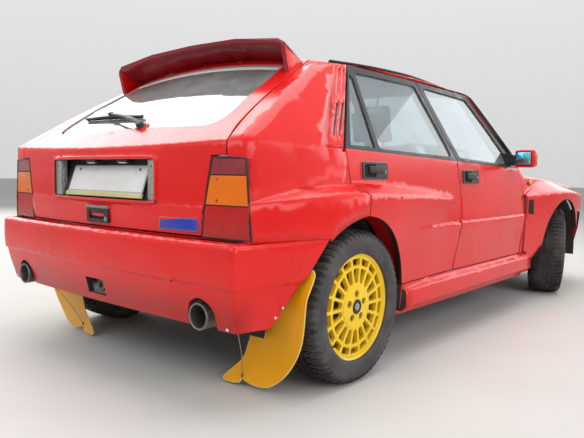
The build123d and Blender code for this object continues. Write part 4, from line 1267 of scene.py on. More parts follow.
def makeWiper():
    build = Build()
    slope = Vector(wiper["slope"]).normalized()
    paneTree = treeOf(["tailgate", "tailgate_glass"])
    hit = paneTree.find_nearest(Vector(wiper["base"]))
    base = frameAt(hit[0], slope, (0, 0.8, 0.6))
    build.disc(0.033, 32, (-0.004, 0.006, 0.003), "paint", base)
    build.disc(0.024, 28, (0.002, 0.012, 0.004), "gloss", base)
    build.disc(0.016, 24, (0.008, 0.026, 0.004), "trim", base)
    start = hit[0] + slope * 0.021
    clip = paneTree.find_nearest(Vector(wiper["clip"]))[0] + slope * 0.026
    bends = [start.lerp(clip, 0.25) + slope * 0.012, start.lerp(clip, 0.6) + slope * 0.01]
    line = smoothLine([start, *bends, clip], 6)
    total = len(line) - 1
    build.add(tubePart(line, [0.0105 - 0.0055 * k / total for k in range(total + 1)], 10, 0.55), "seal")
    blade = []
    for k in range(13):
        spot = Vector(wiper["bladeLeft"]).lerp(Vector(wiper["bladeRight"]), k / 12)
        blade.append(paneTree.find_nearest(spot)[0])
    ahead = (blade[-1] - blade[0]).normalized()
    normals = [slope] * len(blade)
    build.add(stripPart([point + slope * 0.001 for point in blade], normals,
                        [(-0.0014, 0), (-0.0045, 0.009), (0.0045, 0.009), (0.0014, 0)]), "hose")
    bow = [point + slope * (0.01 + 0.004 * sin(pi * k / 12)) for k, point in enumerate(blade)]
    build.add(stripPart(bow, normals, [(-0.0065, -0.003), (-0.0065, 0.003), (-0.003, 0.006), (0.003, 0.006),
                                       (0.0065, 0.003), (0.0065, -0.003)]), "gloss")
    for share in (0.12, 0.38, 0.62, 0.88):
        spot = blade[0].lerp(blade[-1], share) + slope * 0.012
        build.plate((0.02, 0.011, 0.003), (-0.006, 0.006, 0.002), "gloss",
                    frameAt(spot, slope, ahead.cross(slope)))
    build.plate((0.034, 0.015, 0.004), (-0.014, 0.006, 0.003), "trim",
                frameAt(clip, slope, ahead.cross(slope)))
    build.finish("rear_wiper", "tailgate", "black_trim", (), 40)


def makeSpoiler():
    def spoilerFinish(face):
        endPlate = abs(face.normal.x) > 0.6
        # Faces underneath and high on the end plates take the darker copy of the paint, as painted shade
        dark = face.calc_center_median().z > 1.275 if endPlate else face.normal.z < 0.15
        return "spoilerPaint" if dark else "paint"

    finishCopy("roof_spoiler", cadCopy("roof_spoiler"), ["spoilerPaint", "paint"], spoilerFinish, 40)


makeTailLamps()
makePlate()
makeLock()
makeRearGlassTrim()
makeWiper()
makeSpoiler()
print("tail")


# Sides: drip rail, window seals, door handles, indicators and mirrors

flanks = {
    "rail": ((-1.1, 1.28), (-0.5, 1.2905), (0.06, 1.286), (0.15, 1.243), (0.255, 1.128), (0.412, 0.948),
             (0.478, 0.87)),
    "railWidth": 0.02,
    "railHeight": 0.017,
    "handles": {      # y and z of the middle, width and height
        "rear": (-1.158, 0.815, 0.18, 0.066),
        "front": (-0.256, 0.797, 0.196, 0.068),
    },
    "indicator": (0.668, 0.765, 0.052, 0.026),
    "vent": ((0.58, 0.664), (0.634, 0.66), (0.648, 0.57), (0.574, 0.576)),
    "mirrorGlass": (0.884, 0.2665, 0.908, 0.086, 0.074),
}


def makeRails():
    for name, hand in sides.items():
        points, normals = [], []
        for y, z in ((p.x, p.y) for p in smoothLine([(y, z, 0) for y, z in flanks["rail"]], 7)):
            place, normal = onSide(y, z, hand)
            if place is not None:
                points.append(place)
                normals.append(normal)
        for sweep in range(6):
            points = [points[0]] + [points[k] * 0.5 + (points[k - 1] + points[k + 1]) * 0.25
                                    for k in range(1, len(points) - 1)] + [points[-1]]
        outward = Vector((hand * 0.85, 0, 0.5)).normalized()
        build = Build()
        profile = ribProfile(flanks["railWidth"], flanks["railHeight"], 5, 0.006)
        build.add(stripPart(points, outward, profile), "gloss")
        build.finish(f"{name}_drip_rail")


def makeWindowSeals():
    for name, hand in sides.items():
        for end in ("front", "rear"):
            build = Build()
            points, normals = outlinesOf(f"{name}_{end}_door_glass", (hand, 0, 0.3))[0]
            build.add(stripPart(points, normals, ribProfile(0.011, 0.003), True), "gloss")
            build.finish(f"{name}_{end}_window_seal", f"{name}_{end}_door")
    build = Build()
    points, normals = outlinesOf("windscreen", (0, 0.7, 0.7))[0]
    build.add(stripPart(points, normals, ribProfile(0.02, 0.004), True), "seal")
    build.finish("windscreen_seal")


def makeHandles():
    for name, hand in sides.items():      # the hinge side lies forwards
        for end, (y, z, width, height) in flanks["handles"].items():
            base = seatOn(onSide(y, z, hand))
            build = Build()
            outline = roundedBox(width, height, 0.01)
            cup = moved(roundedBox(width * 0.46, height - 0.018, 0.012), -hand * 0.034)
            build.add(slabPart(inset(outline, -0.003), -0.004, 0.0022, 0.001), "pale", base)
            build.add(holedPlate(outline, [cup], -0.002, 0.0075, 0.0015), "gloss", base)
            build.add(slabPart(inset(outline, 0.004), -0.003, 0.0028, 0.0005), "soot", base)
            grip = moved(roundedBox(width * 0.62, height * 0.46, 0.007), hand * 0.01, 0.004)
            build.add(slabPart(grip, 0.003, 0.0125, 0.004, 3), "trim", base)
            lock = base @ shift(hand * (width / 2 - 0.02), -0.004, 0.006)
            build.disc(0.0085, 20, (-0.002, 0.0035, 0.001), "silver", lock)
            build.plate((0.0018, 0.008, 0.0006), (0.003, 0.004), "soot", lock)
            build.finish(f"{name}_{end}_door_handle", f"{name}_{end}_door")


def makeIndicators():
    y, z, width, height = flanks["indicator"]
    for name, hand in sides.items():
        base = seatOn(onSide(y, z, hand))
        build = Build()
        build.plate((width + 0.006, height + 0.006, 0.008), (-0.004, 0.003, 0.001), "gloss", base)
        build.plate((width, height, 0.007), (0.0, 0.012, 0.005, 3), "lensAmber", base)
        build.finish(f"{name}_side_indicator", "body", "tail_lamp")


def makeFenderVents():
    # Dark vents behind the front wheels, in the step between door and fender
    for name, hand in sides.items():
        places = [onSide(y, z, hand)[0] for y, z in flanks["vent"]]
        rings = [[place + Vector((hand * lift, 0, 0)) for place in places] for lift in (-0.012, 0.0015)]
        build = Build()
        build.add(stackPart(rings), "soot")
        build.finish(f"{name}_fender_vent")


def roundBox(low, high, bevel, segments=3):
    # Box between two corners with all its edges rounded
    shape = bmesh.new()
    bmesh.ops.create_cube(shape, size=1)
    size = Vector(high) - Vector(low)
    middle = (Vector(high) + Vector(low)) / 2
    for vert in shape.verts:
        vert.co = Vector((vert.co.x * size.x, vert.co.y * size.y, vert.co.z * size.z)) + middle
    bmesh.ops.bevel(shape, geom=shape.edges[:], offset=bevel, segments=segments, profile=0.5, affect="EDGES")
    return shape


def makeMirrors():
    for name, hand in sides.items():
        build = Build()
        turn = Matrix.Diagonal((hand, 1, 1, 1))
        head = roundBox((0.832, 0.272, 0.857), (0.946, 0.345, 0.959), 0.014)
        for vert in head.verts:      # narrower towards the front and outside
            share = (vert.co.y - 0.272) / 0.073
            vert.co.z = 0.908 + (vert.co.z - 0.908) * (1 - 0.16 * share * share)
            vert.co.x = 0.889 + (vert.co.x - 0.889) * (1 - 0.1 * share * share)
        build.add(head, "paint", turn)
        x, y, z, width, height = flanks["mirrorGlass"]
        back = facingTail(x, y + 0.006, z)
        bezel = roundedBox(width + 0.006, height + 0.006, 0.014)
        build.add(holedPlate(bezel, [inset(bezel, 0.005)], -0.004, 0.006, 0.0015), "gloss", turn @ back)
        build.plate((width, height, 0.012), (-0.002, 0.0035, 0.0008), "mirror", turn @ back)
        foot = stackPart([
            [(0.7, 0.292, 0.862), (0.7, 0.385, 0.862), (0.7, 0.366, 0.886), (0.7, 0.318, 0.945),
             (0.7, 0.292, 0.945)],
            [(0.77, 0.292, 0.866), (0.77, 0.372, 0.866), (0.77, 0.356, 0.888), (0.77, 0.316, 0.938),
             (0.77, 0.292, 0.938)],
            [(0.838, 0.296, 0.872), (0.838, 0.34, 0.872), (0.838, 0.336, 0.89), (0.838, 0.32, 0.926),
             (0.838, 0.296, 0.926)]])
        build.add(foot, "gloss", turn)
        build.finish(f"{name}_mirror_shaped", f"{name}_front_door", slotOf[f"{name}_mirror"],
                     [f"{name}_mirror"], 40)


makeRails()
makeWindowSeals()
makeHandles()
makeIndicators()
makeMirrors()
makeFenderVents()
print("sides")


# Exhaust, mud flaps and what is under the tail

flap = {
    # x and z of the right sheet's edge, seen from behind
    "edge": ((0.59, 0.424), (0.7, 0.43), (0.8, 0.44), (0.836, 0.462), (0.852, 0.469), (0.862, 0.456),
             (0.862, 0.415), (0.859, 0.357), (0.849, 0.262), (0.833, 0.2), (0.798, 0.137), (0.75, 0.079),
             (0.702, 0.041), (0.668, 0.028), (0.612, 0.024), (0.564, 0.033), (0.5535, 0.044), (0.541, 0.018),
             (0.48, 0.01), (0.456, 0.014), (0.47, 0.036), (0.506, 0.068), (0.546, 0.106), (0.572, 0.16),
             (0.588, 0.216), (0.592, 0.32)),
    "y": -1.639,
    "thickness": 0.004,
    "curl": 0.02,
    "stay": ((0.667, -1.8, 0.3), (0.596, -1.7, 0.15), (0.5545, -1.652, 0.046)),
}
pipes = {
    "silencerY": -1.732,
    "silencerZ": 0.318,
    "silencerRadius": 0.077,
    "tipX": 0.607,
    "tipZ": 0.322,
    "route": ((-0.13, 0.9, 0.205), (-0.13, 0.56, 0.152), (-0.13, 0.0, 0.15), (-0.13, -0.95, 0.15),
              (-0.262, -1.19, 0.168), (-0.262, -1.5, 0.168), (-0.262, -1.69, 0.268)),
}


def flapY(x, z):
    # The sheet bends forwards into the arch at its top, and backwards at its outer edge and its foot
    into = min(max((z - 0.37) / 0.1, 0), 1)
    outer = max((x - 0.7) / 0.16, 0) * (1 - into)
    foot = max((0.13 - z) / 0.13, 0)
    return flap["y"] + 0.024 * into * into * (3 - 2 * into) - flap["curl"] * (outer * outer + foot * foot)


def makeFlaps():
    build = Build()
    for hand in sides.values():
        edge = [(p.x, p.y) for p in smoothLine([(x, z, 0) for x, z in flap["edge"]], 3)]
        shape = bmesh.new()
        shape.faces.new([shape.verts.new((x, 0, z)) for x, z in edge])
        for k in range(1, 16):
            cutAt(shape, (0.45 + 0.027 * k, 0, 0), (1, 0, 0))
            cutAt(shape, (0, 0, 0.03 * k), (0, 0, 1))
        bmesh.ops.extrude_face_region(shape, geom=shape.faces[:], use_keep_orig=True)
        shape.verts.ensure_lookup_table()
        back = {vert for face in shape.faces[:] for vert in face.verts}
        seen = {}
        for vert in back:
            seen.setdefault((round(vert.co.x, 5), round(vert.co.z, 5)), []).append(vert)
        for (x, z), pair in seen.items():
            for level, vert in enumerate(pair):
                vert.co = (hand * x, flapY(x, z) - flap["thickness"] * level, z)
        build.add(shape, "flap")
        # A paler bead round each sheet's rim: worn edge and painted highlight
        rim = [Vector((hand * x, flapY(x, z) - flap["thickness"] / 2, z)) for x, z in edge]
        build.add(stripPart(rim, (0, -1, 0), circle(0.0026, 6), True), "flapEdge")
        for place in ((0.64, 0.395), (0.72, 0.4)):
            y = flapY(*place) - flap["thickness"]
            build.disc(0.008, 12, (0, 0.003, 0.0015), "steel", facingTail(hand * place[0], y, place[1]))
    build.finish("mud_flaps_shaped", "body", "yellow_flap", ["mud_flaps"])
    build = Build()
    for hand in sides.values():
        line = [Vector((hand * x, y, z)) for x, y, z in flap["stay"]]
        build.add(tubePart(smoothLine(line, 8), 0.0018, 6), "silver")
        for end in (line[0], line[-1]):
            halfHook = Vector((0, 0, 0.007))
            build.add(tubePart([end - halfHook, end + halfHook], 0.0045, 8), "steel")
        for y, z in ((-1.721, 0.352), (-1.743, 0.32)):
            build.disc(0.0055, 12, (-0.002, 0.003, 0.002), "chrome", seatOn(onSide(y, z, hand)))
        build.disc(0.006, 12, (-0.002, 0.003, 0.002), "chrome", seatOn(onTail(hand * 0.722, 0.293)))
    build.finish("mud_flap_stays", "body", "bare_steel")


def makeExhaust():
    build = Build()
    y, z, radius = pipes["silencerY"], pipes["silencerZ"], pipes["silencerRadius"]
    drum = [(-0.33, 0.024), (-0.33, radius - 0.02), (-0.326, radius - 0.006), (-0.322, radius),
            (-0.314, radius), (-0.311, radius - 0.004)]
    for k in range(9):
        bead = -0.28 + 0.07 * k
        drum += [(bead - 0.006, radius - 0.003), (bead, radius), (bead + 0.006, radius - 0.003)]
    drum += [(-x, r) for x, r in reversed(drum[:6])]
    build.add(lathePart(drum, 40, False), "exhaust", shift(0, y, z))
    build.add(tubePart(smoothLine(pipes["route"], 7), 0.024, 16), "pipe")
    for x, at in ((-0.13, 0.3), (-0.13, -0.55), (-0.262, -1.36)):
        ring = [(-0.012, 0.0235), (-0.012, 0.031), (0.012, 0.031), (0.012, 0.0235)]
        height = 0.168 if x < -0.2 else 0.15
        build.add(lathePart(ring, 20), "steel", shift(x, at, height) @ spun(pi / 2, "Z"))
        build.add(tubePart([(x, at, height + 0.026), (x, at, 0.205)], 0.006, 8), "steel")
    lip = [(0, 0.02), (0.004, 0.036), (0.016, 0.0445), (0.12, 0.0455), (0.13, 0.0458), (0.1355, 0.0468),
           (0.1392, 0.0452), (0.14, 0.0425), (0.1385, 0.0395), (0.133, 0.0385), (0.03, 0.0385),
           (0.012, 0.022)]
    for hand in sides.values():
        x = hand * pipes["tipX"]
        bend = [(hand * 0.328, y, z), (hand * 0.5, y, z), (hand * 0.575, y - 0.004, z),
                (x - hand * 0.004, y - 0.03, z + 0.001), (x, y - 0.062, pipes["tipZ"])]
        build.add(tubePart(smoothLine(bend, 6), 0.0255, 18), "pipe")
        toTip = shift(x, -1.776, pipes["tipZ"]) @ spun(-pi / 2, "Z")
        build.add(lathePart(lip, 48), "exhaust", toTip)
        collar = [(0.04, 0.0395), (0.046, 0.0395), (0.046, 0.024), (0.04, 0.024)]
        build.add(lathePart(collar, 40), "pipe", toTip)
        build.add(lathePart([(0.026, 0.025), (0.03, 0.025)], 32, False), "soot", toTip)
        build.add(tubePart([(hand * 0.2, y, z + radius - 0.004), (hand * 0.2, y, 0.396)], 0.008, 8), "steel")
        build.plate((0.034, 0.022, 0.006), (-0.008, 0.008, 0.003), "hose", facingTail(hand * 0.2, y, 0.398))
    build.finish("exhaust_shaped", "body", "exhaust_steel", ["exhaust"])


makeFlaps()
makeExhaust()
print("flaps and exhaust ready")


# Nose: grille, lamps, bumper inserts and the windscreen's wipers

nose = {
    "headlamps": ((0.585, 0.0655), (0.415, 0.0595)),        # x and radius
    "lampZ": 0.638,
    "lampY": 1.838,
    "grille": (0.306, 0.583, 0.703),                        # half width, foot and top
    "fogLamp": (0.505, 0.345, 0.205, 0.106),                # x, z, width and height
    "indicator": ((0.735, 0.505), (0.105, 0.036)),
}


def makeGrille():
    shape = cadCopy("grille")
    for place, normal in (((0.662, 0, 0), (1, 0, 0)), ((-0.662, 0, 0), (1, 0, 0)), ((0, 0, 0.722), (0, 0, 1)),
                          ((0, 0, 0.572), (0, 0, 1))):
        cutAt(shape, place, normal)
    trianglesOnly(shape)

    def pick(face):
        point = face.calc_center_median()
        edge = abs(point.x) > 0.662 or point.z > 0.722 or point.z < 0.572
        return "paint" if edge and point.y > 1.83 else "trim"

    finishCopy("grille", shape, ["paint", "trim"], pick)
    half, foot, top = nose["grille"]
    build = Build()
    fin = slabPart(roundedBox(0.0024, top - foot, 0.001), 0, 0.018, 0.001)
    build.row(fin, 34, (0.0183, 0, 0), "gloss", facingNose(half - 0.001, 1.814, (foot + top) / 2))
    border = tapered(half + 0.004, half + 0.004, foot - 0.004, top + 0.004, 0.012)
    edge = [onFront(x, z)[0] for x, z in border]
    build.add(stripPart(edge, (0, 1, 0), ribProfile(0.007, 0.004), True), "silver")
    shield = frameAt(onFront(0, (foot + top) / 2)[0], (0, 1, 0))
    corners = [(-0.032, 0.034), (-0.026, -0.016), (0, -0.042), (0.026, -0.016), (0.032, 0.034)]
    build.add(slabPart(roundCorners(corners, 0.008), -0.004, 0.007, 0.003), "silver", shield)
    build.finish("grille_bars")


def makeHeadlamps():
    build = Build()
    for hand in sides.values():
        for x, r in nose["headlamps"]:
            place = shift(hand * x, nose["lampY"], nose["lampZ"]) @ spun(pi / 2, "Z")
            bowl = [(-0.054, 0.012), (-0.05, 0.45 * r), (-0.036, 0.7 * r), (-0.014, 0.88 * r),
                    (-0.001, 0.93 * r),
                    (-0.001, 0.985 * r), (-0.02, 0.97 * r), (-0.042, 0.78 * r), (-0.056, 0.5 * r),
                    (-0.056, 0.012)]
            build.add(lathePart(bowl, 48), "mirror", place)
            lens = [(0.0, 0.93 * r), (0.004, 0.93 * r), (0.008, 0.8 * r), (0.0105, 0.55 * r),
                    (0.0115, 0.25 * r), (0.0118, 0.01 * r)]
            build.add(lathePart(lens, 48, False), "lensClear", place)
            ring = [(-0.006, 0.92 * r), (-0.006, r), (0.006, r), (0.0085, 0.985 * r), (0.0085, 0.955 * r),
                    (0.006, 0.925 * r)]
            build.add(lathePart(ring, 48), "chrome", place)
            bulb = [(-0.054, 0.01), (-0.04, 0.01), (-0.03, 0.013), (-0.02, 0.011), (-0.014, 0.001)]
            build.add(lathePart(bulb, 20, False), "chrome", place)
    build.finish("headlamps_shaped", "body", "headlamp", ["headlamps"])


def meshPanel(build, place, width, height, pitch):
    # Black wire mesh with a rim, facing forwards
    bar = slabPart(roundedBox(0.0022, height, 0.001), 0, 0.003)
    cross = slabPart(roundedBox(width, 0.0022, 0.001), 0.002, 0.005)
    columns, rows = int(width / pitch), int(height / pitch)
    frame = frameAt(place, (0, 1, 0))
    build.row(bar, columns, (pitch, 0, 0), "trim", frame @ shift(-pitch * (columns - 1) / 2, 0))
    build.row(cross, rows, (0, pitch, 0), "trim", frame @ shift(0, -pitch * (rows - 1) / 2))
    outer = roundedBox(width + 0.024, height + 0.024, 0.008)
    inner = roundedBox(width - 0.012, height - 0.012, 0.006)
    build.add(holedPlate(outer, [inner], -0.001, 0.007, 0.001), "trim", frame)


def makeBumperInserts():
    build = Build()
    for z, width, height in ((0.345, 0.66, 0.11), (0.5, 0.4, 0.06)):
        y = onFront(0.0, z + height / 2 + 0.006)[0].y - 0.03
        meshPanel(build, (0, y, z), width, height, 0.016)
    x, z, width, height = nose["fogLamp"]
    for hand in sides.values():
        y = onFront(hand * x, z + height / 2 + 0.008)[0].y - 0.034
        place = facingNose(hand * x, y, z)
        lamp = roundedBox(width - 0.046, height - 0.022, 0.014)
        surround = roundedBox(width + 0.016, height + 0.016, 0.006)
        build.add(holedPlate(surround, [lamp], -0.05, 0.01, 0.003), "trim", place)
        build.add(slabPart(lamp, -0.05, -0.036), "mirror", place)
        build.add(slabPart(inset(lamp, 0.0006), -0.004, 0.006, 0.004), "lensClear", place)
        build.disc(0.013, 20, (-0.036, -0.018, 0.006), "chrome", place)
    (x, z), (width, height) = nose["indicator"]
    for hand in sides.values():
        point, normal = onFront(hand * (x - 0.1), z)
        place = frameAt(point, normal)
        build.plate((width, height, 0.007), (-0.004, 0.005, 0.003), "lensAmber", place)
        build.add(stripPart([place @ Vector((a, b, 0)) for a, b in roundedBox(width, height, 0.007)],
                            tuple(normal), ribProfile(0.005, 0.0035), True), "gloss")
    build.finish("front_bumper_inserts")


def makeScreenWipers():
    screen = treeOf(["windscreen"])
    build = Build()
    # The arm's start and the two ends of the blade, for each wiper
    for start, (x0, y0), (x1, y1) in (((-0.02, 0.508), (-0.16, 0.462), (-0.62, 0.476)),
                                      ((0.44, 0.5), (0.46, 0.47), (0.02, 0.44))):
        points, normals = [], []
        for k in range(13):
            point, normal = onTop(x0 + (x1 - x0) * k / 12, y0 + (y1 - y0) * k / 12, screen)
            points.append(point + normal * 0.002)
            normals.append(normal)
        lip = [(-0.0012, 0), (-0.004, 0.008), (0.004, 0.008), (0.0012, 0)]
        back = [(-0.005, -0.002), (-0.005, 0.002), (0, 0.005), (0.005, 0.002), (0.005, -0.002)]
        build.add(stripPart(points, normals, lip), "hose")
        bow = [points[k] + normals[k] * (0.009 + 0.003 * sin(pi * k / 12)) for k in range(13)]
        build.add(stripPart(bow, normals, back), "gloss")
        foot, normal = onTop(*start)
        build.disc(0.018, 24, (-0.004, 0.014, 0.005), "gloss", frameAt(foot, normal))
        middle = bow[6] + normals[6] * 0.004
        arm = smoothLine([foot + normal * 0.01, foot.lerp(middle, 0.5) + normals[6] * 0.012, middle], 8)
        build.add(tubePart(arm, 0.0045, 8), "gloss")
    build.finish("windscreen_wipers")


def makeArchLiners():
    # Black sheet that closes the front wheel arches behind the fenders
    build = Build()
    radius = car["frontArch"] + 0.0025
    for hand in sides.values():
        points, normals = [], []
        for k in range(37):
            angle = radians(-8 + 196 * k / 36)
            out = Vector((0, cos(angle), sin(angle)))
            points.append(Vector((hand * 0.78, car["frontAxleY"], car["archZ"])) + out * radius)
            normals.append(out)
        build.add(stripPart(points, normals, [(-0.06, 0), (-0.06, 0.003), (0.06, 0.003), (0.06, 0)]), "liner")
    build.finish("front_arch_liners")


makeGrille()
makeArchLiners()
makeHeadlamps()
makeBumperInserts()
makeScreenWipers()
print("nose ready")


# Cabin: padded seats, dashboard, steering wheel, levers and door cards

seats = {
    "x": 0.37,
    "cushion": (0.486, 0.496, 0.136),           # width, depth and thickness
    "cushionPlace": (-0.08, 0.37),            # y and z
    "back": (0.48, 0.545, 0.098),
    "backPlace": (-0.39, 0.705),
    "backLean": 24.3,
    "headRest": (0.236, 0.165, 0.064),
    "headRestPlace": (-0.534, 1.048),
    "headRestLean": 13.8,
    "benchWidth": 1.19,
    "benchPlace": (-0.909, 0.662),
    "benchLean": 8.8,
}


def evenLine(outline, pitch):
    # A closed outline again, with points an even pitch apart or closer
    result = []
    for k, point in enumerate(outline):
        here, after = Vector(point), Vector(outline[(k + 1) % len(outline)])
        count = max(int((after - here).length / pitch), 1)
        result += [tuple(here.lerp(after, step / count)) for step in range(count)]
    return result


def padPart(width, depth, height, rounding, relief):
    # Crowned pad about the origin with its face up; relief lowers the face at channels and between bolsters
    outline = evenLine(roundedBox(depth, height, rounding, 6), 0.013)
    stations = [(-width / 2 + rounding * (1 - cos(pi * k / 12)), rounding * (1 - sin(pi * k / 12)))
                for k in range(7)]
    middle = int(width / 0.014)
    inner = width - 2 * rounding
    stations += [(-inner / 2 + inner * k / middle, 0) for k in range(1, middle)]
    stations += [(-x, amount) for x, amount in reversed(stations[:7])]
    shape = stackPart([[(x, y, z) for y, z in inset(outline, amount)] for x, amount in stations])
    for vert in shape.verts:
        u, v = vert.co.x / (width / 2), vert.co.y / (depth / 2)
        pull = 0.01 * (1 - v * v) * u * abs(u) ** 3, 0.008 * (1 - u * u) * v * abs(v) ** 3
        vert.co.x -= pull[0]                                    # the sides pull in between the corners
        vert.co.y -= pull[1]
        share = min(max(vert.co.z / (height / 2), 0), 1)
        vert.co.z -= share * (0.014 * (u ** 4 + v ** 4) / 2 + relief(vert.co.x, vert.co.y))
    return shape


def groove(value, places, depth, width=0.007):
    return sum(depth * exp(-((value - place) / width) ** 2) for place in places)


def bucketRelief(halfWidth, channels):
    def relief(x, y):
        inside = min(max((halfWidth - abs(x)) / 0.05, 0), 1)
        inside = inside * inside * (3 - 2 * inside)
        seam = groove(abs(x), [halfWidth], 0.006, 0.005)
        return inside * 0.022 + inside * groove(y, channels, 0.007) + seam
    return relief


def benchRelief(channels):
    return lambda x, y: groove(x, (-0.3, 0, 0.3), 0.009, 0.008) + groove(y, channels, 0.006)


def leaning(x, place, degrees):
    # Own axes of a pad that leans back: z forwards and up out of its face
    lean = radians(degrees)
    return frameAt((x, *place), (0, cos(lean), sin(lean)), (0, -sin(lean), cos(lean)))


def makeSeats():
    def pick(halfWidth):
        def finishOf(face):
            middle = abs(face.calc_center_median().x) < halfWidth and face.normal.z > 0.5
            return "seatMiddle" if middle else "seat"
        return finishOf

    build, frame = Build(), Build()
    for hand in sides.values():
        x = hand * seats["x"]
        build.add(padPart(*seats["cushion"], 0.045, bucketRelief(0.16, (-0.16, -0.09, -0.02, 0.05, 0.12))),
                  "seat", shift(x, *seats["cushionPlace"]), pick(0.15))
        build.add(padPart(*seats["back"], 0.042, bucketRelief(0.15, (-0.18, -0.1, -0.02, 0.06, 0.14))),
                  "seat", leaning(x, seats["backPlace"], seats["backLean"]), pick(0.14))
        build.add(padPart(*seats["headRest"], 0.028, lambda a, b: groove(a, (-0.085, 0.085), 0.004)), "seat",
                  leaning(x, seats["headRestPlace"], seats["headRestLean"]))
        for aside in (-0.055, 0.055):
            frame.add(tubePart([(x + aside, -0.478, 0.9), (x + aside, -0.53, 1.01)], 0.006, 10), "chrome")
        for aside in (-0.197, 0.197):
            frame.plate((0.03, 0.44, 0.006), (0, 0.084, 0.003), "steel", shift(x + aside, -0.075, 0.2155))
            hinge = frameAt((x + aside * 1.24, -0.285, 0.44), (1 if aside > 0 else -1, 0, 0))
            frame.disc(0.038, 28, (-0.01, 0.006, 0.005), "cabin", hinge)
    pads = build.finish("front_seats_shaped", "body", "seat_cloth", ["front_seats"], 60)
    frame.finish("front_seat_frames", "body", "bare_steel")
    build, base = Build(), Build()
    build.add(padPart(seats["benchWidth"], 0.45, 0.088, 0.038, benchRelief((-0.06, 0.05))), "seat",
              shift(0, -0.7075, 0.385), pick(0.56))
    build.add(padPart(seats["benchWidth"], 0.47, 0.118, 0.045, benchRelief((-0.12, 0, 0.12))), "seat",
              leaning(0, seats["benchPlace"], seats["benchLean"]), pick(0.56))
    pads = build.finish("rear_seat_shaped", "body", "seat_cloth", ["rear_seat"], 60)
    for hand in sides.values():
        base.plate((0.49, 0.445, 0.012), (0, 0.126, 0.004), "carpet", shift(hand * 0.35, -0.7075, 0.2155))
    base.finish("rear_seat_base", "body", "seat_cloth")


def dial(build, place, radius):
    # Gauge with a ring, marks and a needle, facing out along the place's z
    lay = place @ spun(-pi / 2, "Y")
    ring = [(-0.004, radius - 0.004), (-0.004, radius), (0.004, radius), (0.005, radius - 0.002),
            (0.002, radius - 0.004)]
    build.add(lathePart(ring, 32), "chrome", lay)
    build.disc(radius - 0.003, 32, (-0.003, 0.0005), "gloss", place)
    near, far = radius * 0.74, radius * 0.86
    mark = slabPart([(-0.0006, near), (0.0006, near), (0.0006, far), (-0.0006, far)], 0, 0.0012)
    mark.transform(spun(pi / 2, "Y"))
    build.ring(mark, 24, "pale", place @ spun(-pi / 2, "Y"))
    needle = [(-0.0012, -0.006), (0.0012, -0.006), (0.0004, radius * 0.72), (-0.0004, radius * 0.72)]
    build.add(slabPart(needle, 0.001, 0.0026), "lensAmber", place @ spun(radians(50), "Z"))


